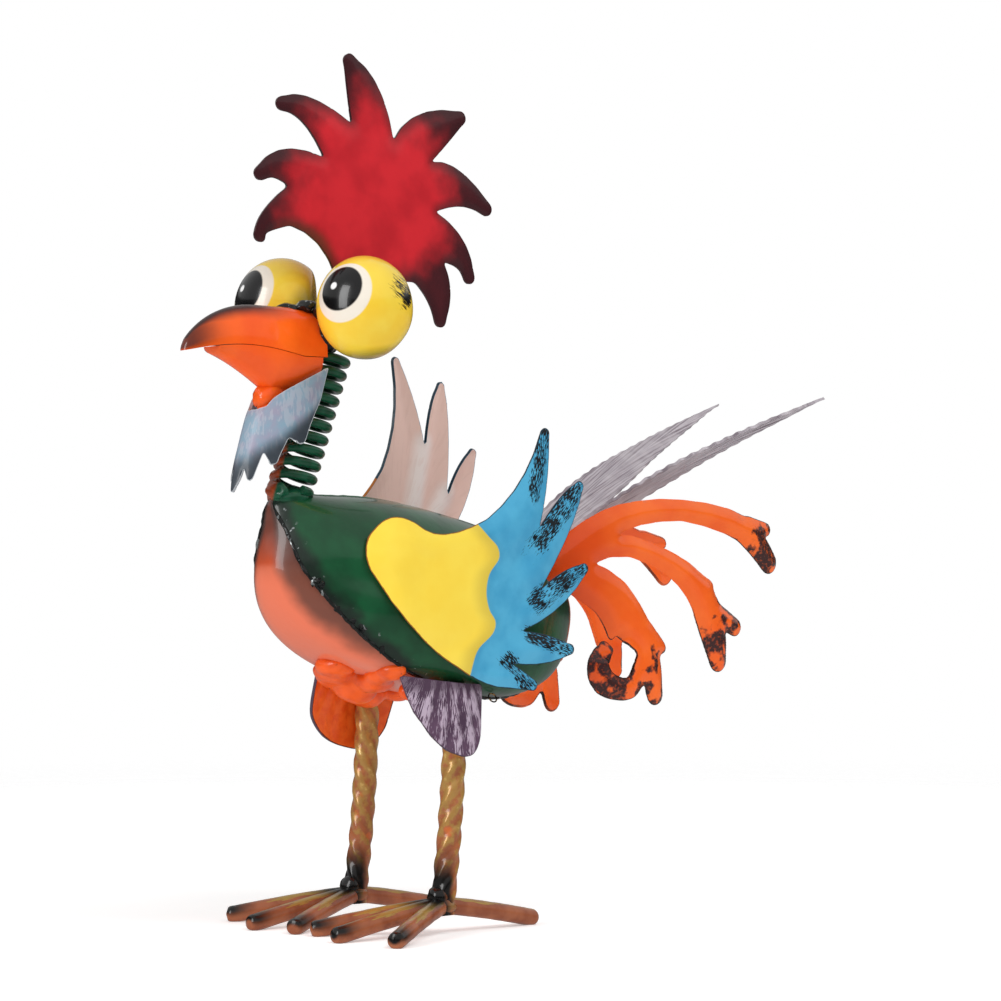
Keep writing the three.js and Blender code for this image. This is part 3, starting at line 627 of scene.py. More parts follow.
def eye_paint(side):
    """Yellow enamel with a painted white, pupil and glint, and a dry-brushed mark on the outer side."""
    name = SIDES[side]
    marks = EYE_MARKS[name]
    centre = (side * EYE["x"], EYE["y"], EYE["z_" + name])
    paint, tree, shader, position = new_paint(name + " eye enamel", 0.22, 1.0, 0.1, 0.25)
    base = mottled(tree, position, "#fbd949", "#f8cd38")
    shadow = fade(tree, toward(tree, position, centre, marks["shade"]), 0.72, 1.0)
    base = over(tree, calc(tree, "MULTIPLY", shadow, 0.75), base, colour("#3c3a22"))
    parts = split(tree, position)
    across = calc(tree, "MULTIPLY_ADD", parts[2], 0.85, calc(tree, "MULTIPLY", parts[1], 0.53))
    along = calc(tree, "MULTIPLY_ADD", parts[2], -0.53, calc(tree, "MULTIPLY", parts[1], 0.85))
    strokes = joined(tree, across, along, 0.0)
    worn = fade(tree, toward(tree, position, centre, marks["scratch"]), 0.84, 0.99)
    black = dry_brush(tree, strokes, calc(tree, "MULTIPLY", worn, 0.62), 12.0, 1.9)
    black = calc(tree, "MULTIPLY", black, fade(tree, worn, 0.0, 0.2))
    base = over(tree, black, base, colour("#15120f"))
    base = over(tree, disc(tree, position, centre, marks["white"], 38.5), base, colour("#f4ebdc"))
    base = over(tree, disc(tree, position, centre, marks["gaze"], 28.5), base, colour("#0b0a0c"))
    base = over(tree, disc(tree, position, centre, marks["dot"], 4.2), base, colour("#ffffff"))
    set_input(tree, shader, "Base Color", base)
    return paint


def beak_paint():
    """Bright orange, smoked maroon over the tip and along the top of the beak."""
    paint, tree, shader, position = new_paint("beak enamel", 0.25, 1.0, 0.15, 0.7)
    parts = split(tree, position)
    base = mottled(tree, position, "#ff6418", "#fa5a14")
    top = measured(tree, "top")
    smoke = airbrush(tree, position, top, 0.6, 0.97, 0.03)
    smoke = calc(tree, "MULTIPLY", smoke, fade(tree, parts[1], -58.0, -84.0))
    tip = airbrush(tree, position, parts[1], -97.0, -119.0, 1.5)
    tip = calc(tree, "MULTIPLY", tip, fade(tree, top, -0.3, 0.35))
    dark = calc(tree, "MAXIMUM", smoke, calc(tree, "MULTIPLY", tip, 0.9))
    base = over(tree, dark, base, colour("#33100c"))
    set_input(tree, shader, "Base Color", base)
    return paint


def comb_paint():
    """Red, sprayed nearly black over the spikes, with a brown edge in front above the eyes."""
    paint, tree, shader, position = new_paint("comb enamel", 0.34, 0.7, 0.25, 0.3)
    fan = effect(tree, "fan", {"Position": position, "Y": COMB_FAN[0], "Z": COMB_FAN[1]})
    edge = measured(tree, "edge")
    base = mottled(tree, position, "#db2530", "#c41c28", 0.05)
    parts = split(tree, position)
    lowered = calc(tree, "MULTIPLY_ADD", fade(tree, parts[2], 316.0, 298.0), 12.0, fan["Radius"])
    ends = airbrush(tree, position, lowered, 33.0, 62.0, 6.0)
    base = over(tree, calc(tree, "MULTIPLY", ends, 0.94), base, colour("#351a20"))
    outer = fade(tree, fan["Radius"], 22.0, 40.0)
    sides = calc(tree, "MULTIPLY", fade(tree, edge, 6.0, 0.0), outer)
    base = over(tree, calc(tree, "MULTIPLY", sides, 0.6), base, colour("#33161b"))
    low = fade(tree, parts[2], 326.0, 314.0)
    brow = calc(tree, "MULTIPLY", fade(tree, parts[1], -30.0, -46.0), low)
    brow = calc(tree, "MULTIPLY", brow, fade(tree, parts[1], -74.0, -62.0))
    brow = calc(tree, "MULTIPLY", brow, fade(tree, edge, 8.0, 1.0))
    base = over(tree, calc(tree, "MULTIPLY", brow, 0.7), base, colour("#6a3416"))
    base = over(tree, worn_edge(tree, position, edge, 0.35), base, colour("#3a151a"))
    set_input(tree, shader, "Base Color", base)
    return paint


def beard_paint():
    """Mottled grey blue, dark toward the feather points, with bare metal along the edge."""
    paint, tree, shader, position = new_paint("beard enamel", 0.4, 0.4, 0.3, 0.6)
    parts = split(tree, position)
    strokes = joined(tree, parts[0], parts[2], parts[1])
    base = mottled(tree, position, "#86a3b6", "#9a98ad", 0.12)
    light = dry_brush(tree, strokes, 0.45, 5.0, 0.6)
    base = over(tree, calc(tree, "MULTIPLY", light, 0.4), base, colour("#b9bcc6"))
    tips = airbrush(tree, position, measured(tree, "tip"), 0.5, 1.05, 0.06)
    base = over(tree, tips, base, colour("#373e46"))
    bare = worn_edge(tree, position, measured(tree, "edge"), 0.35)
    base = over(tree, calc(tree, "MULTIPLY", bare, 0.7), base, colour("#cdd3d8"))
    set_input(tree, shader, "Base Color", base)
    return paint


def wing_paint():
    """Yellow shoulder with a scalloped border, then sky blue feathers dry-brushed with black."""
    paint, tree, shader, position = new_paint("wing enamel", 0.42, 0.25, 0.2, 0.4)
    edge = measured(tree, "edge")
    blue = measured(tree, "blue")
    brushed = measured(tree, "brushed")
    strokes = joined(tree, measured(tree, "across"), measured(tree, "along"), 0.0)
    yellow = mottled(tree, position, "#ffe04e", "#fcd843", 0.04)
    shade = fade(tree, blue, -11.0, -0.5)
    yellow = over(tree, calc(tree, "MULTIPLY", shade, 0.4), yellow, colour("#a8933f"))
    yellow = over(tree, worn_edge(tree, position, edge, 0.5), yellow, colour("#9a5a1c"))
    sky = mottled(tree, position, "#50add4", "#3f9dc8", 0.08)
    shadow = fade(tree, blue, 5.0, 0.0)
    sky = over(tree, calc(tree, "MULTIPLY", shadow, 0.25), sky, colour("#2f7fa6"))
    black = dry_brush(tree, strokes, calc(tree, "MULTIPLY", brushed, 0.57), 6.0, 2.2)
    black = calc(tree, "MULTIPLY", black, fade(tree, brushed, 0.05, 0.3))
    sky = over(tree, black, sky, colour("#10151a"))
    sky = over(tree, worn_edge(tree, position, edge, 0.5), sky, colour("#1d3848"))
    base = over(tree, fade(tree, blue, -0.35, 0.35), yellow, sky)
    set_input(tree, shader, "Base Color", base)
    return paint


def wing_back_paint():
    """The wing's plain inner face: pinkish grey primer with a painted highlight along the pressed
    grooves, faint streaks and a blue rim.
    """
    paint, tree, shader, position = new_paint("wing primer", 0.5, 0.15, 0.3, 0.6)
    strokes = joined(tree, measured(tree, "swing"), measured(tree, "reach"), 0.0)
    groove = measured(tree, "groove")
    # painted highlight: paler along the pressed grooves between the feathers
    base = over(tree, fade(tree, groove, 1.0, 9.0), colour("#fbeee9"), colour("#f7d4c8"))
    streaks = dry_brush(tree, strokes, 0.4, 14.0, 0.6)
    base = over(tree, calc(tree, "MULTIPLY", streaks, 0.15), base, colour("#dfb8aa"))
    rim = worn_edge(tree, position, measured(tree, "edge"), 0.25)
    base = over(tree, calc(tree, "MULTIPLY", rim, 0.9), base, colour("#4d7f9a"))
    set_input(tree, shader, "Base Color", base)
    return paint


def tail_paint():
    """Orange enamel over pressed half-round branches, black dry-brushed on the lobes."""
    paint, tree, shader, position = new_paint("tail enamel", 0.24, 0.9, 0.3, 0.4)
    parts = split(tree, position)
    edge = measured(tree, "edge")
    base = mottled(tree, position, "#fd6e22", "#f66018", 0.05)
    root = airbrush(tree, position, parts[1], 118.0, 76.0, 3.0)
    base = over(tree, calc(tree, "MULTIPLY", root, 0.8), base, colour("#d2400e"))
    ends = measured(tree, "ends")
    strokes = joined(tree, parts[1], parts[2], parts[0])
    near = calc(tree, "MULTIPLY", fade(tree, ends, 24.0, 8.0), 0.24)
    near_edge = calc(tree, "MULTIPLY", fade(tree, edge, 3.5, 0.5), 0.07)
    cloud = calc(tree, "ADD", grain(tree, strokes, 0.13, 5.0), calc(tree, "ADD", near, near_edge))
    black = calc(tree, "MULTIPLY", fade(tree, cloud, 0.66, 0.76), fade(tree, ends, 28.0, 20.0))
    streaks = fade(tree, grain(tree, strokes, 0.6, 4.0), 0.35, 0.5)
    black = calc(tree, "MULTIPLY", black, number(tree, streaks, 0.72, 0.97))
    base = over(tree, black, base, colour("#2a2124"))
    line = worn_edge(tree, position, edge, 0.5)
    line = calc(tree, "MULTIPLY", line, fade(tree, ends, 32.0, 18.0))
    base = over(tree, line, base, colour("#241a17"))
    set_input(tree, shader, "Base Color", base)
    return paint


def plain_orange_paint():
    """The tail's inner face: orange with a darker rim."""
    paint, tree, shader, position = new_paint("plain orange enamel", 0.32, 0.5, 0.3, 0.5)
    base = mottled(tree, position, "#fc6c28", "#f45e1c", 0.05)
    rim = worn_edge(tree, position, measured(tree, "edge"), 0.3)
    base = over(tree, rim, base, colour("#a03c14"))
    set_input(tree, shader, "Base Color", base)
    return paint


def quill_paint():
    """Lavender grey with fine lines that run out from the shaft."""
    paint, tree, shader, position = new_paint("quill paint", 0.42, 0.25, 0.2, 0.3)
    along = measured(tree, "along")
    across = measured(tree, "across")
    swept = calc(tree, "MULTIPLY", along, -0.05)
    barb = calc(tree, "ADD", calc(tree, "ABSOLUTE", across), swept)
    lines = joined(tree, barb, calc(tree, "MULTIPLY", along, 0.022), 0.0)
    fine = grain(tree, lines, 1.3, 3.0)
    base = over(tree, fade(tree, fine, 0.35, 0.68), colour("#cbc3ca"), colour("#867a83"))
    pale = fade(tree, grain(tree, position, 0.06, 2.0), 0.4, 0.7)
    base = over(tree, calc(tree, "MULTIPLY", pale, 0.5), base, colour("#d9d2d6"))
    set_input(tree, shader, "Base Color", base)
    set_input(tree, shader, "Metallic", number(tree, fine, 0.15, 0.35))
    bump = node(tree, "Bump", {"Strength": 0.7, "Distance": 0.0003, "Height": fine})
    set_input(tree, shader, "Normal", bump.outputs[0])
    return paint


def purple_paint():
    """Dark purple with lavender dry-brushed along the ridges of the flutes, darker at the top."""
    paint, tree, shader, position = new_paint("thigh paint", 0.42, 0.3, 0.3, 0.5)
    fan = effect(tree, "fan", {"Position": position, "Y": THIGH_FAN[0], "Z": THIGH_FAN[1]})
    parts = split(tree, position)
    base = mottled(tree, position, "#62485f", "#4e384d", 0.1)
    across = split(tree, fan["Strokes"])[0]
    ridges = calc(tree, "SINE", calc(tree, "MULTIPLY", across, THIGH["flutes"] / STROKE_RADIUS))
    coverage = calc(tree, "MULTIPLY_ADD", ridges, 0.15, 0.45)
    pale = dry_brush(tree, fan["Strokes"], coverage, 14.0, 2.2)
    base = over(tree, calc(tree, "MULTIPLY", pale, 0.8), base, colour("#c6b4c6"))
    top = fade(tree, parts[2], 107.0, 112.0)
    base = over(tree, calc(tree, "MULTIPLY", top, 0.75), base, colour("#4a3648"))
    rim = worn_edge(tree, position, measured(tree, "edge"), 0.35)
    base = over(tree, rim, base, colour("#4f3f51"))
    set_input(tree, shader, "Base Color", base)
    return paint


def brushed_orange_paint():
    """Thin orange brushed on by hand, streaky and darker at the edges."""
    paint, tree, shader, position = new_paint("brushed orange", 0.34, 0.6, 0.5, 1.0)
    fan = effect(tree, "fan", {"Position": position, "Y": THIGH_FAN[0], "Z": THIGH_FAN[1]})
    streaks = grain(tree, fan["Strokes"], 0.22, 4.0)
    base = over(tree, fade(tree, streaks, 0.3, 0.72), colour("#ff7226"), colour("#f05a14"))
    rim = worn_edge(tree, position, measured(tree, "edge"), 0.6)
    base = over(tree, rim, base, colour("#6b2a12"))
    set_input(tree, shader, "Base Color", base)
    return paint


def hip_paint():
    """Orange brushed over the brazed hips, with specks of dirt."""
    paint, tree, shader, position = new_paint("hip enamel", 0.34, 0.6, 0.5, 1.2)
    base = mottled(tree, position, "#f55f18", "#dc4c0e", 0.12)
    dirt = fade(tree, grain(tree, position, 0.3, 4.0), 0.68, 0.78)
    base = over(tree, calc(tree, "MULTIPLY", dirt, 0.6), base, colour("#3a1c12"))
    set_input(tree, shader, "Base Color", base)
    return paint


def weld_paint():
    """Sooty black weld metal with bare silver patches."""
    paint, tree, shader, position = new_paint("weld", 0.25, 0.6, 0.6, 1.0)
    silver = fade(tree, grain(tree, position, 0.22, 3.0), 0.6, 0.66)
    base = over(tree, silver, colour("#161817"), colour("#a9afaf"))
    set_input(tree, shader, "Base Color", base)
    set_input(tree, shader, "Metallic", calc(tree, "MULTIPLY", silver, 0.8))
    return paint


def leg_paint():
    """Copper brown in the grooves, gold on the twisted ribs, orange splashes and black at the foot."""
    paint, tree, shader, position = new_paint("leg bronze", 0.28, 0.9, 0.3, 0.6)
    parts = split(tree, position)
    rib = measured(tree, "rib")
    base = mottled(tree, position, "#a4613c", "#8a4c30", 0.15)
    splash = fade(tree, grain(tree, position, 0.12, 3.0), 0.58, 0.68)
    base = over(tree, calc(tree, "MULTIPLY", splash, 0.7), base, colour("#cf6a30"))
    ribs = calc(tree, "MULTIPLY", rib, 0.6)
    worn = calc(tree, "MULTIPLY_ADD", grain(tree, position, 0.3, 4.0), 2.0, ribs)
    worn = calc(tree, "MULTIPLY_ADD", fade(tree, parts[2], 20.0, 85.0), 0.45, worn)
    gold = fade(tree, worn, 1.15, 1.7)
    base = over(tree, calc(tree, "MULTIPLY", gold, 0.8), base, colour("#bd9650"))
    crest = fade(tree, worn, 1.8, 2.15)
    base = over(tree, calc(tree, "MULTIPLY", crest, 0.7), base, colour("#e3c878"))
    grey = fade(tree, parts[2], 98.0, 110.0)
    base = over(tree, calc(tree, "MULTIPLY", grey, 0.7), base, colour("#7d6650"))
    low_part = fade(tree, parts[2], 40.0, 24.0)
    front = airbrush(tree, position, parts[1], 4.5, 0.0, 0.8)
    base = over(tree, calc(tree, "MULTIPLY", low_part, front), base, colour("#100e0d"))
    set_input(tree, shader, "Base Color", base)
    set_input(tree, shader, "Metallic", calc(tree, "MULTIPLY", gold, 0.3))
    return paint


def toe_paint():
    """Copper brown rods, gold on top, black at the tips and where they meet in front."""
    paint, tree, shader, position = new_paint("toe bronze", 0.3, 0.7, 0.4, 0.6)
    along = measured(tree, "along")
    above = measured(tree, "above")
    strokes = joined(tree, measured(tree, "round"), calc(tree, "MULTIPLY", along, 56.0), 0.0)
    base = mottled(tree, position, "#a5613f", "#8a4a2f", 0.1)
    thinning = number(tree, fade(tree, along, 0.3, 0.8), 0.8, 0.42)
    crown = calc(tree, "MULTIPLY", fade(tree, above, 0.2, 1.0), thinning)
    gold = dry_brush(tree, strokes, crown, 9.0, 0.7)
    base = over(tree, calc(tree, "MULTIPLY", gold, 0.85), base, colour("#b89a4c"))
    black = measured(tree, "black")
    ends = airbrush(tree, position, along, 0.7, 0.95, 0.02)
    ends = calc(tree, "MULTIPLY", ends, fade(tree, above, -0.5, 0.5))
    root = calc(tree, "MULTIPLY", fade(tree, along, 0.42, 0.15), fade(tree, above, 0.1, 0.9))
    dark = calc(tree, "MULTIPLY", calc(tree, "MAXIMUM", ends, root), black)
    base = over(tree, dark, base, colour("#0e0c0b"))
    set_input(tree, shader, "Base Color", base)
    set_input(tree, shader, "Metallic", calc(tree, "MULTIPLY", gold, 0.4))
    return paint


def ankle_paint():
    """Bronze weld, black in front."""
    paint, tree, shader, position = new_paint("ankle bronze", 0.25, 0.9, 0.6, 1.2)
    parts = split(tree, position)
    base = mottled(tree, position, "#9c5a38", "#8a6a3c", 0.15)
    black = airbrush(tree, position, parts[1], 2.0, -3.0, 1.0)
    base = over(tree, black, base, colour("#0d0c0b"))
    set_input(tree, shader, "Base Color", base)
    return paint


def wire_paint():
    """Dark wire, worn to brass in places."""
    paint, tree, shader, position = new_paint("dark wire", 0.25, 0.5, 0.3, 0.3)
    bare = fade(tree, grain(tree, position, 0.8, 2.0), 0.5, 0.6)
    base = over(tree, bare, colour("#2a2421"), colour("#b58f52"))
    set_input(tree, shader, "Base Color", base)
    shader.inputs["Metallic"].default_value = 0.6
    return paint


def floor_paint():
    """Nearly white, fading out toward the rim so that no edge shows."""
    paint = bpy.data.materials.new("pale floor")
    paint.use_nodes = True
    tree = paint.node_tree
    shader = tree.nodes["Principled BSDF"]
    place = node(tree, "TexCoord").outputs["Object"]
    base = over(tree, grain(tree, place, 3.0, 2.0), colour("#fbfbfb"), colour("#f6f6f6"))
    set_input(tree, shader, "Base Color", base)
    shader.inputs["Roughness"].default_value = 0.9
    shader.inputs["Specular IOR Level"].default_value = 0.1
    shader.inputs["Emission Color"].default_value = (1, 1, 1, 1)
    shader.inputs["Emission Strength"].default_value = 0.32
    set_input(tree, shader, "Alpha", fade(tree, away(tree, place, (0, 0, 0)), 1.25, 0.4))
    return paint


# Body: two pressed shells, the breast plate and the welds between them

def neck_swell(turn, x):
    round_neck = (math.degrees(turn) % 360 - NECK["turn"]) / NECK["spread"]
    return 1 + NECK["swell"] * math.exp(-round_neck ** 2 - (x / NECK["half_width"]) ** 2)


def body_point(turn, x, grow=0.0):
    """A point of the egg-like body. turn runs round the side view from the rear over the top."""
    box = 2 + 2 * max(0.0, -math.sin(turn)) ** 2
    half_width = BODY["half_width"] + grow
    reach = neck_swell(turn, x) * max(0.0, 1 - min(1.0, abs(x) / half_width) ** box) ** (1 / box)
    part = "above" if math.sin(turn) > 0 else "below"
    power = 2 / BODY_POWER[part]
    along = signed_power(math.cos(turn), power) * (BODY["half_length"] + grow) * reach
    high = signed_power(math.sin(turn), power) * (BODY[part] + grow) * reach
    tilt = math.radians(BODY["tilt"])
    y = BODY["y"] + along * math.cos(tilt) + high * math.sin(tilt)
    z = BODY["z"] - along * math.sin(tilt) + high * math.cos(tilt)
    return Vector((x, y, z))


def body_half_width_at(y, z):
    tilt = math.radians(BODY["tilt"])
    along = (y - BODY["y"]) * math.cos(tilt) - (z - BODY["z"]) * math.sin(tilt)
    high = (y - BODY["y"]) * math.sin(tilt) + (z - BODY["z"]) * math.cos(tilt)
    part = "above" if high > 0 else "below"
    along_part = abs(along / BODY["half_length"]) ** BODY_POWER[part]
    high_part = abs(high / BODY[part]) ** BODY_POWER[part]
    reach = (along_part + high_part) ** (1 / BODY_POWER[part])
    box = 2 if high > 0 else 2 + 2 * high_part / max(1e-6, along_part + high_part)
    return BODY["half_width"] * (1 - reach ** box) ** (1 / box) if reach < 1 else 0.0


def breast_half_width(turn):
    part = (math.degrees(turn) % 360 - BREAST["from"]) / (BREAST["to"] - BREAST["from"])
    if not 0 <= part <= 1:
        return 0.0
    return max(BREAST["tip"], BREAST["half_width"] * math.sin(math.pi * part) ** BREAST["fullness"])


def seam_x(turn):
    breast = breast_half_width(turn)
    return breast + 0.15 if breast else 0.1


def body_shell(side, paint):
    def place(u, v):
        turn = 2 * math.pi * u
        spread = math.acos(seam_x(turn) / BODY["half_width"]) * v
        return body_point(turn, BODY["half_width"] * math.cos(spread))
    bm = wrapped_grid(*GRIDS["shell"], place)
    seam_layer = bm.verts.layers.float.new("seam")
    ridge_layer = bm.verts.layers.float.new("ridge")
    degrees = range(BREAST["from"], BREAST["to"])
    seam = KDTree(len(degrees))
    for i, degree in enumerate(degrees):
        turn = math.radians(degree)
        seam.insert(body_point(turn, seam_x(turn)), i)
    seam.balance()
    for vert in bm.verts:
        vert[seam_layer] = seam.find(vert.co)[2]
        vert[ridge_layer] = vert.co.x
    if side < 0:
        bmesh.ops.scale(bm, vec=(-1, 1, 1), verts=bm.verts)
    bmesh.ops.recalc_face_normals(bm, faces=bm.faces)
    face_away(bm, Vector((0, BODY["y"], BODY["z"])))
    name = SIDES[side]
    make_piece("shell_" + name, bm, [paint], "body_" + name, SHEET)


def face_away(bm, centre):
    """Turns all faces over if they look toward the centre rather than away from it."""
    bm.normal_update()
    outward = 0.0
    for face in bm.faces:
        outward += face.normal.dot(face.calc_center_median() - centre) * face.calc_area()
    if outward < 0:
        bmesh.ops.reverse_faces(bm, faces=bm.faces)


def breast_plate(paint):
    def place(u, v):
        turn = math.radians(mix(BREAST["from"], BREAST["to"], u))
        return body_point(turn, (2 * v - 1) * breast_half_width(turn))
    bm = bmesh.new()
    columns, rows = GRIDS["breast"]
    bmesh.ops.create_grid(bm, x_segments=columns, y_segments=rows, size=0.5)
    along_layer = bm.verts.layers.float.new("along")
    side_layer = bm.verts.layers.float.new("side")
    for vert in bm.verts:
        u, v = vert.co.x + 0.5, vert.co.y + 0.5
        vert[along_layer] = u
        vert[side_layer] = abs(2 * v - 1)
        vert.co = place(u, v)
    weld(bm)
    face_away(bm, Vector((0, BODY["y"], BODY["z"])))
    make_piece("breast_plate", bm, [paint], "breast", SHEET)


def seam_welds(side, paint):
    """The rough bead between shell and breast plate, with spatter beside it."""
    def line(t):
        start, end = BREAST["from"] + SEAM_BEAD["inset"], BREAST["to"] - SEAM_BEAD["inset"]
        turn = math.radians(mix(start, end, t))
        return body_point(turn, side * seam_x(turn), 0.1)

    def radius(t, angle):
        lumpy = noise.noise(Vector((t * 55, side * 3, math.cos(angle))))
        return (SEAM_BEAD["radius"] + SEAM_BEAD["uneven"] * lumpy) * min(1.0, 30 * t, 30 * (1 - t))
    bm = rod(line, radius, GRIDS["seam_bead"], Vector((1, 0, 0.2)))
    dice = random.Random(7 + side)
    for i in range(SPATTER["count"]):
        turn = math.radians(dice.uniform(*SPATTER["turn"]))
        aside = seam_x(turn) + dice.uniform(*SPATTER["aside"])
        size = dice.uniform(*SPATTER["size"])
        length, height = [size * dice.uniform(*SPATTER["stretch"]) for axis in "yz"]
        spot = body_point(turn, side * aside, -SPATTER["sunk"])
        add_lump(bm, spot, (size, length, height), i, SPATTER["roughness"])
    make_piece("seam_weld_" + SIDES[side], bm, [paint])


def back_seam(paint):
    def line(t):
        turn = math.radians(mix(BACK_SEAM["from"], BACK_SEAM["to"], t))
        return body_point(turn, 0, -BACK_SEAM["sunk"])

    def radius(t, angle):
        uneven = BACK_SEAM["uneven"] * noise.noise(Vector((t * 60, 0, 0)))
        return (BACK_SEAM["radius"] + uneven) * min(1.0, 40 * t, 40 * (1 - t))
    bm = rod(line, radius, GRIDS["back_seam"], Vector((1, 0, 0)))
    seam_layer = bm.verts.layers.float.new("seam")
    for vert in bm.verts:
        vert[seam_layer] = 50.0
    make_piece("back_seam", bm, [paint])


# Head

def press_flat(bm):
    """The right eye is pressed nearly flat where its back is welded to the head."""
    for vert in bm.verts:
        past = vert.co.dot(EYE_DENT["facing"]) - EYE_DENT["from"]
        if past > 0:
            kept = EYE_DENT["depth"] * (1 - math.exp(-past / EYE_DENT["depth"]))
            vert.co -= EYE_DENT["facing"] * (past - kept)


def eyeball(side, paint):
    """A ball beaten from sheet by hand, so a little out of round."""
    name = SIDES[side]
    bm = bmesh.new()
    columns, rows = GRIDS["eye"]
    bmesh.ops.create_uvsphere(bm, u_segments=columns, v_segments=rows, radius=0.5)
    bmesh.ops.scale(bm, vec=(EYE["width"], EYE["width"], EYE["height"]), verts=bm.verts)
    for vert in bm.verts:
        vert.co *= 1 + EYE["uneven"] * noise.noise(vert.co * 0.07 + Vector((9 * side, 0, 0)))
    if side < 0:
        press_flat(bm)
    bmesh.ops.translate(bm, vec=(side * EYE["x"], EYE["y"], EYE["z_" + name]), verts=bm.verts)
    make_piece("eyeball_" + name, bm, [paint], "eye_" + name)


def beak_station(part):
    """One cross-section of the beak, tip to back: its place, mouth height, ridge height, half width."""
    mouth = BEAK["mouth"] + BEAK["rise"] * math.sin(math.pi * min(1.0, part * 1.25))
    hook = min(1.0, part / BEAK["hook"])
    ridge = mix(BEAK["mouth"] + BEAK["tip_height"], BEAK["ridge"], (1 - (1 - hook) ** 2.2) ** 0.75)
    ridge -= 4 * max(0.0, part - 0.75)
    half_width = mix(BEAK["tip_width"], BEAK["half_width"], part ** 0.6)
    return mix(BEAK["tip"], BEAK["back"], part), mouth, ridge, half_width


def beak_half(start, end, height):
    """A loft along the beak: a flat mouth face and a round back, closed at both ends."""
    bm = bmesh.new()
    columns, rows = GRIDS["beak"]
    bmesh.ops.create_grid(bm, x_segments=columns, y_segments=rows, size=0.5)
    top_layer = bm.verts.layers.float.new("top")
    for vert in bm.verts:
        u, v = vert.co.x + 0.5, vert.co.y + 0.5
        inset = min(1.0, u * columns / 2, (1 - u) * columns / 2)
        closed = 0.0 if inset <= 0 else min(1.0, 0.6 + 0.4 * inset)
        y, mouth, ridge, half_width = beak_station(mix(start, end, u))
        angle = 2 * math.pi * v
        rise = max(0.0, math.sin(angle)) * closed
        x = math.cos(angle) * half_width * closed
        vert[top_layer] = rise
        vert.co = Vector((x, y, height(y, mouth, ridge, rise)))
    weld(bm)
    return bm


def upper_beak(paint):
    def height(y, mouth, ridge, rise):
        return mouth + BEAK["gap"] + (ridge - mouth) * rise
    bm = beak_half(0.0, 1.0, height)
    make_piece("upper_beak", bm, [paint], "beak_upper")


def lower_beak(paint):
    def height(y, mouth, ridge, rise):
        part = (y - BEAK["tip"]) / (BEAK["back"] - BEAK["tip"])
        opening = (part - JAW["from"]) / (JAW["deepest"] - JAW["from"])
        closing = ((1 - part) / (1 - JAW["deepest"])) ** JAW["rear"]
        depth = BEAK["tip_height"] + JAW["depth"] * min(opening, closing)
        return mouth - BEAK["gap"] - depth * rise
    bm = beak_half(JAW["start"], JAW["end"], height)
    top_layer = bm.verts.layers.float["top"]
    for vert in bm.verts:
        vert[top_layer] = 0.0
    add_lump(bm, CHIN["place"], CHIN["radii"], 3, 0.18)
    add_lump(bm, CHIN["drop"], CHIN["drop_radii"], 4, 0.25)
    make_piece("lower_beak", bm, [paint], "beak_lower")


def comb_plate(paint):
    bm, edge_layer = side_sheet("comb", 1, STEPS["comb"], OUTLINE_ROUNDS["comb"])
    for vert in bm.verts:
        y, z = vert.co.y, vert.co.z
        pillow = COMB["pillow"] * (1 - math.exp(-vert[edge_layer] / COMB["pillow_reach"]))
        wave = COMB["wave"] * math.sin(y * 0.07 + 1) + COMB["wave"] * math.sin(z * 0.06)
        vert.co.x = SHEET / 2 + pillow + wave * smooth(*COMB["wave_from"], z)
    make_piece("comb_plate", bm, [paint], "comb", SHEET)


def beard_swing(co):
    front = BEARD["front_top"][0] + (co.z - BEARD["front_top"][1]) * BEARD["lean"]
    return math.atan2(co.x / BEARD["half_width"], (front + BEARD["depth"] - co.y) / BEARD["depth"])


def beard_sheet(paint):
    def facing(face):
        swing = beard_swing(face.calc_center_median())
        return face.normal.dot(Vector((math.sin(swing), -math.cos(swing), 0)))

    def unroll(co):
        return Vector((0, beard_swing(co) / (math.pi / 2) * BEARD["arm"], co.z))
    bm, edge_layer = flat_sheet("beard", facing, unroll, STEPS["beard"], OUTLINE_ROUNDS["plain"])
    tip_layer = bm.verts.layers.float.new("tip")
    for vert in bm.verts:
        across, z = vert.co.y, vert.co.z
        hem = BEARD_RELIEF["hem"] + BEARD_RELIEF["hem_curve"] * across ** 2
        vert[tip_layer] = 1 - smooth(hem, hem + BEARD_RELIEF["hem_fade"], z)
        rounding = 1 - math.exp(-vert[edge_layer] / BEARD_RELIEF["pillow_reach"])
        grow = SHEET / 2 + BEARD_RELIEF["pillow"] * rounding
        swing = across / BEARD["arm"] * math.pi / 2
        front = BEARD["front_top"][0] + (z - BEARD["front_top"][1]) * BEARD["lean"]
        vert.co.x = (BEARD["half_width"] + grow) * math.sin(swing)
        vert.co.y = front + BEARD["depth"] - (BEARD["depth"] + grow) * math.cos(swing)
    bmesh.ops.recalc_face_normals(bm, faces=bm.faces)
    face_away(bm, Vector(BEARD["behind"]))
    make_piece("beard_sheet", bm, [paint], "beard", SHEET)


def neck_coil(paint):
    base, top = Vector(SPRING["base"]), Vector(SPRING["top"])
    axis = top - base
    across = Vector((1, 0, 0))
    ahead = axis.cross(across).normalized()
    bm = bmesh.new()
    ring = bmesh.ops.create_circle(bm, segments=14, radius=SPRING["wire"] / 2)["verts"]
    turn = Matrix((across, axis.normalized(), -ahead)).transposed().to_4x4()
    to_start = Matrix.Translation(base + across * SPRING["coil"] / 2)
    bmesh.ops.transform(bm, matrix=to_start @ turn, verts=ring)
    steps = int(SPRING["turns"] * 28)
    bmesh.ops.spin(bm, geom=bm.verts[:] + bm.edges[:], cent=base, axis=axis.normalized(),
                   dvec=axis / steps, angle=SPRING["turns"] * 2 * math.pi, steps=steps,
                   use_merge=False)
    bmesh.ops.holes_fill(bm, edges=[edge for edge in bm.edges if edge.is_boundary])
    weld(bm)
    make_piece("neck_coil", bm, [paint], "neck_spring")


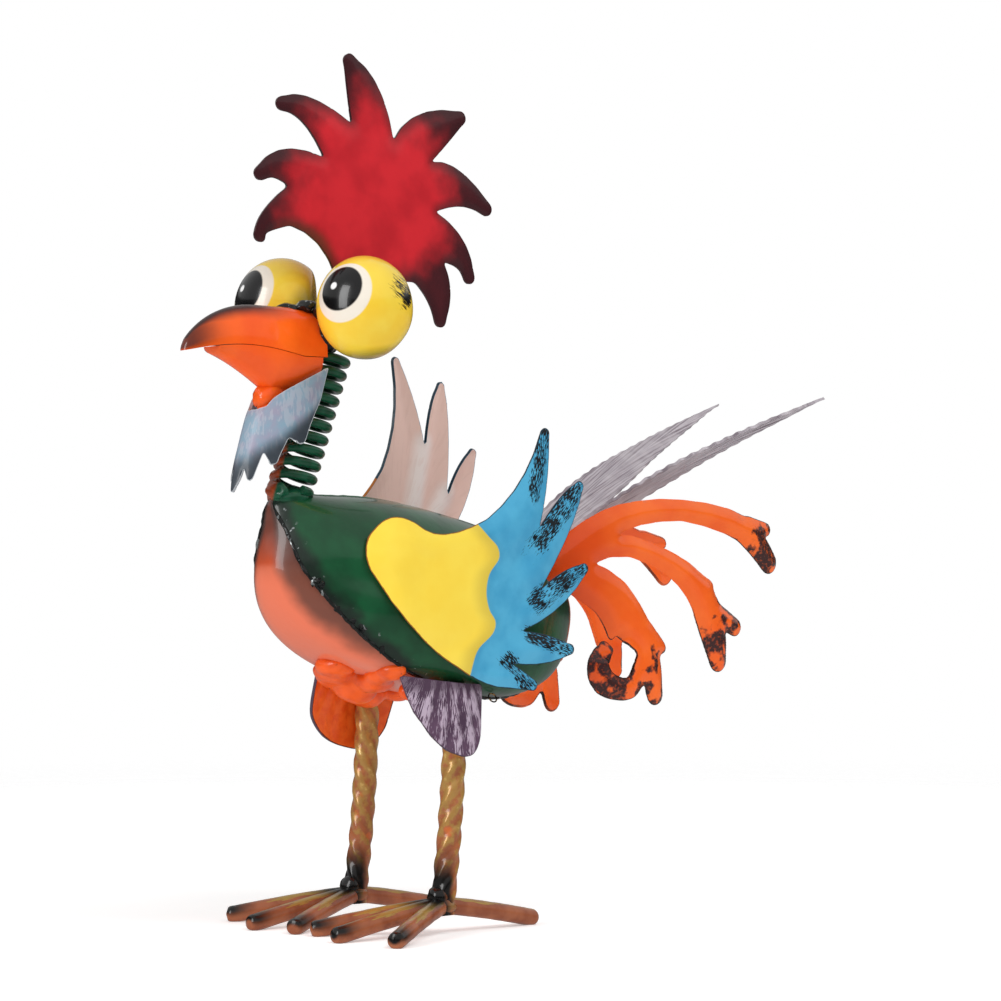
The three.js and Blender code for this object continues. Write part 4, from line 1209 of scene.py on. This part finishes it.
def head_welds(paint):
    """Welds that hold eyes, beak, comb and spring together."""
    bm = bmesh.new()
    for i, (place, radii) in enumerate(HEAD_WELDS):
        add_lump(bm, place, radii, i + 11, 0.3)
    make_piece("head_weld", bm, [paint])


def neck_collar(paint):
    """The stub and brazing that seat the spring on the body."""
    bm = bmesh.new()
    for i, (place, radii, roughness) in enumerate(COLLAR_LUMPS):
        add_lump(bm, place, radii, i + 21, roughness)
    make_piece("neck_collar", bm, [paint])


# Wings, tail, quills and thighs

def wing_sideways(y, z):
    behind = y - WING["flat_from"]
    free = WING["x"] + (WING["flare"] * behind if behind > 0 else -WING["front_curl"] * behind ** 2)
    return max(free, body_half_width_at(y, z) + WING["clear"])


def right_wing_unturned(y, z):
    """Where a point of the raised right wing lies on the left wing's outline."""
    pivot_y, pivot_z = RIGHT_WING["pivot"]
    back, up = y - pivot_y - RIGHT_WING["back"], z - pivot_z - RIGHT_WING["up"]
    angle = -math.radians(RIGHT_WING["turn"])
    return (pivot_y + back * math.cos(angle) - up * math.sin(angle),
            pivot_z + back * math.sin(angle) + up * math.cos(angle))


def groove_distance(groove, y, z):
    """How far a point of the wing is from a pressed line between two feathers."""
    start, end = [Vector((0, *point)) for point in groove]
    spot = Vector((0, y, z))
    nearest, part = intersect_point_line(spot, start, end)
    return (spot - (start if part < 0 else end if part > 1 else nearest)).length


def brushed_place(y, z):
    """How much of the brush a wing point caught, and its place across and along that feather."""
    most = (0.0, 0.0, 0.0)
    for i, (tip, end, half_width) in enumerate(WING_BRUSHED):
        length = math.dist(tip, end)
        ahead = ((end[0] - tip[0]) / length, (end[1] - tip[1]) / length)
        along = (y - tip[0]) * ahead[0] + (z - tip[1]) * ahead[1]
        across = (y - tip[0]) * ahead[1] - (z - tip[1]) * ahead[0]
        sideways = 1 - smooth(0.6 * half_width, 1.5 * half_width, abs(across))
        lengthways = 1 - smooth(0.8 * length, 1.15 * length, along)
        most = max(most, (sideways * lengthways, across + BRUSH_SPACING * i, along))
    return most


def wing_plate(side, paints):
    name = SIDES[side]
    bm, edge_layer = side_sheet("wing_" + name, side, STEPS["wing"])
    blue_layer = bm.verts.layers.float.new("blue")
    reach_layer = bm.verts.layers.float.new("reach")
    swing_layer = bm.verts.layers.float.new("swing")
    brush_layers = [bm.verts.layers.float.new(key) for key in ("brushed", "across", "along")]
    groove_layer = bm.verts.layers.float.new("groove")
    for vert in bm.verts:
        y, z = vert.co.y, vert.co.z
        plain_y, plain_z = (y, z) if side > 0 else right_wing_unturned(y, z)
        reach = math.hypot(plain_y - WING_FAN[0], plain_z - WING_FAN[1])
        vert[blue_layer] = plain_y - curve_at(WING_BORDER, plain_z)
        vert[reach_layer] = reach
        vert[swing_layer] = STROKE_RADIUS * math.atan2(plain_z - WING_FAN[1], plain_y - WING_FAN[0])
        for layer, value in zip(brush_layers, brushed_place(plain_y, plain_z)):
            vert[layer] = value
        to_groove = min(groove_distance(groove, plain_y, plain_z) for groove in WING_GROOVES)
        vert[groove_layer] = to_groove
        pressed = smooth(*WING_PRESS[name], reach)
        feather = WING_PRESS["slope"] * min(vert[edge_layer], to_groove, WING_PRESS["reach"]) * pressed
        hem = WING_PRESS["hem"] * (1 - math.exp(-vert[edge_layer] / WING_PRESS["hem_reach"]))
        vert.co.x = side * (wing_sideways(y, z) + SHEET / 2 + feather + hem)
    make_piece("wing_plate_" + name, bm, paints, "wing_" + name, SHEET)


def tail_sideways(y):
    return TAIL["x"] - TAIL["curl"] * max(0.0, TAIL["curl_from"] - y) ** 2


def tail_plate(side, paints):
    """A scrolled plate, its branches pressed out half round, with a raised lip inside the scroll."""
    name = SIDES[side]
    back, drop = (0, 0) if side > 0 else (TAIL["right_back"], TAIL["right_drop"])
    bm, edge_layer = side_sheet("tail_" + name, side, STEPS["tail"], OUTLINE_ROUNDS["tail"])
    scroll = Vector((0, SCROLL["centre"][0] + back, SCROLL["centre"][1] - drop))
    lip = measure_edge(bm, lambda co: (co - scroll).length < SCROLL["radius"])
    ends_layer = bm.verts.layers.float.new("ends")
    for vert, lip_distance in zip(bm.verts, lip):
        y, z = vert.co.y, vert.co.z
        to_end = min(math.hypot(y - back - end[0], z + drop - end[1]) for end in TAIL_ENDS)
        vert[ends_layer] = to_end + (0 if side > 0 else TAIL["right_cleaner"])
        part = min(1.0, vert[edge_layer] / TAIL["dome_reach"])
        dome = TAIL["dome"] * math.sin(math.pi / 2 * part)
        lip_rise = SCROLL["lip"] * (1 - smooth(0.0, SCROLL["lip_reach"], lip_distance))
        vert.co.x = side * (tail_sideways(y - back) + SHEET / 2 + dome + lip_rise)
    for _ in range(2):
        bmesh.ops.smooth_vert(bm, verts=bm.verts, factor=0.5,
                              use_axis_x=True, use_axis_y=False, use_axis_z=False)
    make_piece("tail_plate_" + name, bm, paints, "tail_" + name, SHEET)


def quill_outline(part):
    """Place along the feather and half its width there, as parts of the length and half width."""
    point_from = QUILL["point_from"]
    if part < point_from:
        t = part / point_from
        knots = ((0, 0.22), (0.12, 1.0), (QUILL["widest"], 1.2), (point_from, 0.62))
        shares = ((1 - t) ** 3, 3 * t * (1 - t) ** 2, 3 * t * t * (1 - t), t ** 3)
    else:
        t = (part - point_from) / (1 - point_from)
        knots = ((point_from, 0.62), (0.85, 0.25), (1.0, 0.0))
        shares = ((1 - t) ** 2, 2 * t * (1 - t), t * t)
    return [sum(share * knot[i] for share, knot in zip(shares, knots)) for i in (0, 1)]


def quill_feather(side, paint):
    """A long leaf, arched and crimped along both edges, with a raised shaft."""
    root = Vector(QUILL["root"])
    ahead = Vector(QUILL["tip"]) - root
    length = ahead.length
    ahead.normalize()
    level = Vector((0, 0, 1)).cross(ahead).normalized()
    lift = ahead.cross(level)
    across = Matrix.Rotation(-math.radians(QUILL["roll"]), 3, ahead) @ level
    above = ahead.cross(across)
    bm = bmesh.new()
    columns, rows = GRIDS["quill"]
    bmesh.ops.create_grid(bm, x_segments=columns, y_segments=rows, size=0.5)
    along_layer = bm.verts.layers.float.new("along")
    across_layer = bm.verts.layers.float.new("across")
    for vert in bm.verts:
        u, v = vert.co.x + 0.5, 2 * vert.co.y
        part, width = quill_outline(min(0.999, 0.04 + 0.96 * u))
        half = width * QUILL["width"] / 2
        way = part * length
        swept = 2 * math.pi * (way + QUILL_CRIMP["sweep"] * abs(v)) / QUILL_CRIMP["wave"]
        crimp = math.sin(swept + math.copysign(QUILL_CRIMP["shift"], v))
        half *= 1 + QUILL_CRIMP["outline"] * crimp
        crimped = QUILL_CRIMP["height"] * crimp * abs(v) ** 2 * min(1, half / 5)
        shaft = QUILL_CRIMP["shaft"] * math.exp(-(v * half / QUILL_CRIMP["shaft_half"]) ** 2)
        vert[along_layer] = way
        vert[across_layer] = v * half
        vert.co = root + ahead * way + across * v * half + above * (crimped + shaft + SHEET / 2)
        vert.co += lift * QUILL["arch"] * 4 * part * (1 - part)
    bm.normal_update()
    face_away(bm, root + ahead * length / 2 - above * 200)
    if side < 0:
        bmesh.ops.scale(bm, vec=(-1, 1, 1), verts=bm.verts)
        bmesh.ops.reverse_faces(bm, faces=bm.faces)
    name = SIDES[side]
    make_piece("quill_feather_" + name, bm, [paint], "quill_" + name, SHEET)


def thigh_tuft(side, paints):
    """A fluted leaf of sheet, cupped round the top of the leg."""
    name = SIDES[side]
    stretch = 1.0 if side > 0 else THIGH["right_stretch"]
    bm, edge_layer = side_sheet("thigh_" + name, side, STEPS["thigh"])
    for vert in bm.verts:
        y, z = vert.co.y, vert.co.z
        cup = ((y - THIGH["middle"][0]) / stretch / THIGH["cup_half"]) ** 2
        bent = THIGH["x"] - THIGH["cup"] * cup + THIGH["flare"] * (THIGH["middle"][1] - z)
        if side < 0:
            curled = smooth(*RIGHT_TUFT["curl_z"], z) * (1 - smooth(*RIGHT_TUFT["curl_y"], y))
            bent -= RIGHT_TUFT["curl_in"] * curled
            vert.co.z += RIGHT_TUFT["curl_up"] * curled
            forward = mix(*RIGHT_TUFT["forward"], smooth(*RIGHT_TUFT["forward_z"], z))
            vert.co.y -= forward * (1 - smooth(*RIGHT_TUFT["forward_y"], y))
        turn = math.atan2(z - THIGH_FAN[1], y - THIGH_FAN[0])
        flute = THIGH["flute_" + name] * math.sin(turn * THIGH["flutes"])
        vert.co.x = side * (bent + SHEET / 2 + flute * smooth(0, 3, vert[edge_layer]))
    make_piece("thigh_tuft_" + name, bm, paints, "thigh_" + name, SHEET)


def hip_weld(side, paint):
    """The fat brazed lumps that join leg, tuft and belly, run together and painted orange."""
    bm = bmesh.new()
    for i, (place, radii) in enumerate(HIP_LUMPS[SIDES[side]]):
        add_lump(bm, place, radii, 3 * i + side, HIP_MELT["roughness"])
    piece = make_piece("hip_weld_" + SIDES[side], bm, [paint])
    melt = piece.modifiers.new("melt", "REMESH")
    melt.mode = "VOXEL"
    melt.voxel_size = HIP_MELT["voxel"] * 0.001
    melt.use_smooth_shade = True
    soften = piece.modifiers.new("soften", "SMOOTH")
    soften.factor = HIP_MELT["share"]
    soften.iterations = HIP_MELT["rounds"]


# Legs and feet

def leg_line(side, part):
    z = mix(LEG["bottom"], LEG["top"], part)
    bent = math.sin(math.pi / 2 * min(1.35, (z - LEG["bottom"]) / LEG["bow_top"]))
    return Vector((side * LEG["x"], LEG["bow"] * bent, z))


def leg_bar(side, paint):
    """A square bar twisted along its length, its corners hammered round."""
    name = SIDES[side]
    bm = bmesh.new()
    columns, rows = GRIDS["leg"]
    bmesh.ops.create_grid(bm, x_segments=columns, y_segments=rows, size=0.5)
    rib_layer = bm.verts.layers.float.new("rib")
    power = LEG_TWIST["corner_power"]
    for vert in bm.verts:
        part, angle = vert.co.x + 0.5, 2 * math.pi * (vert.co.y + 0.5)
        turned = angle - side * 2 * math.pi * part * (LEG["top"] - LEG["bottom"]) / LEG["twist"]
        corner = (abs(math.cos(turned)) ** power + abs(math.sin(turned)) ** power) ** (-1 / power)
        spot = Vector((part * 30, math.cos(angle), math.sin(angle) + side * 5))
        dent = 1 + LEG_TWIST["dents"] * noise.noise(spot)
        size = LEG["width"] * LEG_TWIST["flats"] * corner * dent
        vert[rib_layer] = (corner - 1) / LEG_TWIST["rib"]
        vert.co = leg_line(side, part) + Vector((size * math.cos(angle), size * math.sin(angle), 0))
    bmesh.ops.remove_doubles(bm, verts=bm.verts, dist=0.002)
    bmesh.ops.holes_fill(bm, edges=[edge for edge in bm.edges if edge.is_boundary])
    bmesh.ops.recalc_face_normals(bm, faces=bm.faces)
    make_piece("leg_bar_" + name, bm, [paint], "leg_" + name)


def toe_rod(side, which, paint):
    """A round rod that slopes from the ankle to the ground, with a rounded tip."""
    name = SIDES[side]
    turn = math.radians(TOE_TURNS[name][which])
    length = TOE["hind"] if which == "hind" else TOE["front"]
    way = Vector((math.sin(turn) * side, -math.cos(turn), 0))
    start = Vector((side * LEG["x"], 0, 0))

    def line(t):
        fallen = min(1.0, max(0.0, t) / TOE_FORM["level_from"]) ** TOE_FORM["slope_power"]
        z = mix(TOE["arch"], TOE["tip"], fallen)
        return start + way * length * t + Vector((0, 0, z))
    bm = bmesh.new()
    columns, rows = GRIDS["toe"]
    bmesh.ops.create_grid(bm, x_segments=columns, y_segments=rows, size=0.5)
    layers = {key: bm.verts.layers.float.new(key) for key in ("along", "above", "round", "black")}
    power = TOE_FORM["tip_power"]
    for vert in bm.verts:
        u, angle = vert.co.x + 0.5, 2 * math.pi * (vert.co.y + 0.5)
        ahead = (line(u + 0.01) - line(u - 0.01)).normalized()
        across = ahead.cross(Vector((0, 0, 1))).normalized()
        above = across.cross(ahead)
        to_end = min(1.0, (1 - u) * length / TOE["radius"])
        size = TOE["radius"] * (1 - (1 - to_end) ** power) ** (1 / power) * min(1.0, 40 * u)
        spot = Vector((u * 9, side * 4, TOE_TURNS[name][which]))
        size *= 1 + TOE_FORM["uneven"] * noise.noise(spot)
        flat = across * math.cos(angle) * size * TOE_FORM["spread"] + above * math.sin(angle) * size
        vert[layers["along"]] = u
        vert[layers["above"]] = math.sin(angle)
        vert[layers["round"]] = angle * TOE["radius"]
        vert[layers["black"]] = 0.0 if which == "hind" else 1.0
        place = line(u) + flat
        place.z = max(0.0, place.z)
        vert.co = place
    weld(bm)
    make_piece(f"toe_rod_{name}_{which}", bm, [paint], f"toe_{name}_{which}")


def ankle_weld(side, paint):
    bm = bmesh.new()
    for i, ((y, z), radii) in enumerate(ANKLE_LUMPS):
        add_lump(bm, (side * LEG["x"], y, z), radii, side + 5 + 3 * i, 0.12)
    make_piece("ankle_weld_" + SIDES[side], bm, [paint])


def wire_loop(paint):
    bm = bmesh.new()
    bmesh.ops.create_circle(bm, segments=10, radius=LOOP["wire"] / 2)
    bmesh.ops.translate(bm, vec=(LOOP["radius"], 0, 0), verts=bm.verts)
    upright = Matrix.Rotation(math.pi / 2, 3, "X")
    bmesh.ops.rotate(bm, cent=(0, 0, 0), matrix=upright, verts=bm.verts)
    bmesh.ops.spin(bm, geom=bm.verts[:] + bm.edges[:], cent=(0, 0, 0), axis=(0, 0, 1),
                   angle=2 * math.pi, steps=32, use_merge=True)
    weld(bm)
    leaning = Matrix.Rotation(math.pi / 3, 3, "Y")
    bmesh.ops.rotate(bm, cent=(0, 0, 0), matrix=leaning, verts=bm.verts)
    bmesh.ops.translate(bm, vec=LOOP["centre"], verts=bm.verts)
    make_piece("wire_loop", bm, [paint], "loop")


# Stage, light and camera

def pale_floor():
    bm = bmesh.new()
    bmesh.ops.create_circle(bm, cap_ends=True, segments=96, radius=FLOOR_RADIUS)
    mesh = bpy.data.meshes.new("floor")
    bm.to_mesh(mesh)
    bm.free()
    floor = bpy.data.objects.new("floor", mesh)
    mesh.materials.append(floor_paint())
    bpy.context.scene.collection.objects.link(floor)
    floor.visible_glossy = False


def softbox(name):
    place = Vector(LIGHTS[name]["place"])
    light = bpy.data.lights.new(name, "AREA")
    light.shape = "RECTANGLE"
    light.size, light.size_y = SOFTBOX["size"]
    light.energy = LIGHTS[name]["power"]
    light.specular_factor = SOFTBOX["gloss"]
    lamp = bpy.data.objects.new(name, light)
    lamp.location = place
    lamp.rotation_euler = (Vector(SOFTBOX["aim"]) - place).to_track_quat("-Z", "Y").to_euler()
    bpy.context.scene.collection.objects.link(lamp)
    return lamp


def studio():
    world = bpy.data.worlds.new("white studio")
    bpy.context.scene.world = world
    world.use_nodes = True
    tree = world.node_tree
    sky = tree.nodes["Background"]
    path = node(tree, "LightPath").outputs
    height = split(tree, node(tree, "TexCoord").outputs["Generated"])[2]
    mirrored_room = over(tree, fade(tree, height, 0.22, 0.28), colour("#303030"), colour("#c0c0c0"))
    mirrored_room = over(tree, fade(tree, height, 0.0, -0.08), mirrored_room, colour("#8c8c8c"))
    lit_room = over(tree, fade(tree, height, -0.2, 0.9), colour("#b0b0b0"), colour("#d0d0d0"))
    room = over(tree, path["Is Diffuse Ray"], mirrored_room, lit_room)
    seen = over(tree, path["Is Camera Ray"], room, (1.0, 1.0, 1.0, 1.0))
    tree.links.new(seen, sky.inputs["Color"])
    sky.inputs["Strength"].default_value = 1.0
    softbox("left softbox")
    overhead = softbox("right softbox")
    overhead.visible_glossy = False
    bpy.context.scene.view_settings.view_transform = "Standard"


def photo_camera():
    azimuth = math.radians(CAMERA["azimuth"])
    yaw, pitch = math.radians(CAMERA["yaw"]), math.radians(CAMERA["pitch"])
    to_bird = Vector((-math.sin(azimuth), math.cos(azimuth), 0))
    sideways = Vector((math.cos(azimuth), math.sin(azimuth), 0))
    level = to_bird * math.cos(yaw) + sideways * math.sin(yaw)
    right = level.cross(Vector((0, 0, 1)))
    ahead = level * math.cos(pitch) + Vector((0, 0, math.sin(pitch)))
    up = right.cross(ahead)
    place = TO_FRAME @ (-to_bird * CAMERA["distance"] + Vector((0, 0, CAMERA["height"])))
    lens = bpy.data.cameras.new("photo camera")
    lens.lens = CAMERA["lens"]
    lens.sensor_width = CAMERA["film"]
    camera = bpy.data.objects.new("photo camera", lens)
    turn = Matrix((right, up, -ahead)).transposed().to_4x4()
    camera.matrix_world = Matrix.Translation(place) @ turn
    bpy.context.scene.collection.objects.link(camera)
    bpy.context.scene.camera = camera


def build_rooster():
    green, weld_metal, bronze = green_paint(), weld_paint(), toe_paint()
    breast_plate(breast_paint())
    back_seam(green)
    coil = spring_paint()
    neck_coil(coil)
    neck_collar(coil)
    orange_beak = beak_paint()
    upper_beak(orange_beak)
    lower_beak(orange_beak)
    comb_plate(comb_paint())
    beard_sheet(beard_paint())
    head_welds(weld_metal)
    for side in SIDES:
        eyeball(side, eye_paint(side))
    wing_faces = [wing_paint(), wing_back_paint()]
    tail_faces = [tail_paint(), plain_orange_paint()]
    thigh_faces = [purple_paint(), brushed_orange_paint()]
    quill, hip, leg, ankle = quill_paint(), hip_paint(), leg_paint(), ankle_paint()
    for side in SIDES:
        body_shell(side, green)
        seam_welds(side, weld_metal)
        wing_plate(side, wing_faces)
        tail_plate(side, tail_faces)
        quill_feather(side, quill)
        thigh_tuft(side, thigh_faces)
        hip_weld(side, hip)
        leg_bar(side, leg)
        for which in ("outer", "middle", "inner", "hind"):
            toe_rod(side, which, bronze)
        ankle_weld(side, ankle)
    wire_loop(wire_paint())


photo_camera()
pale_floor()
studio()
build_rooster()
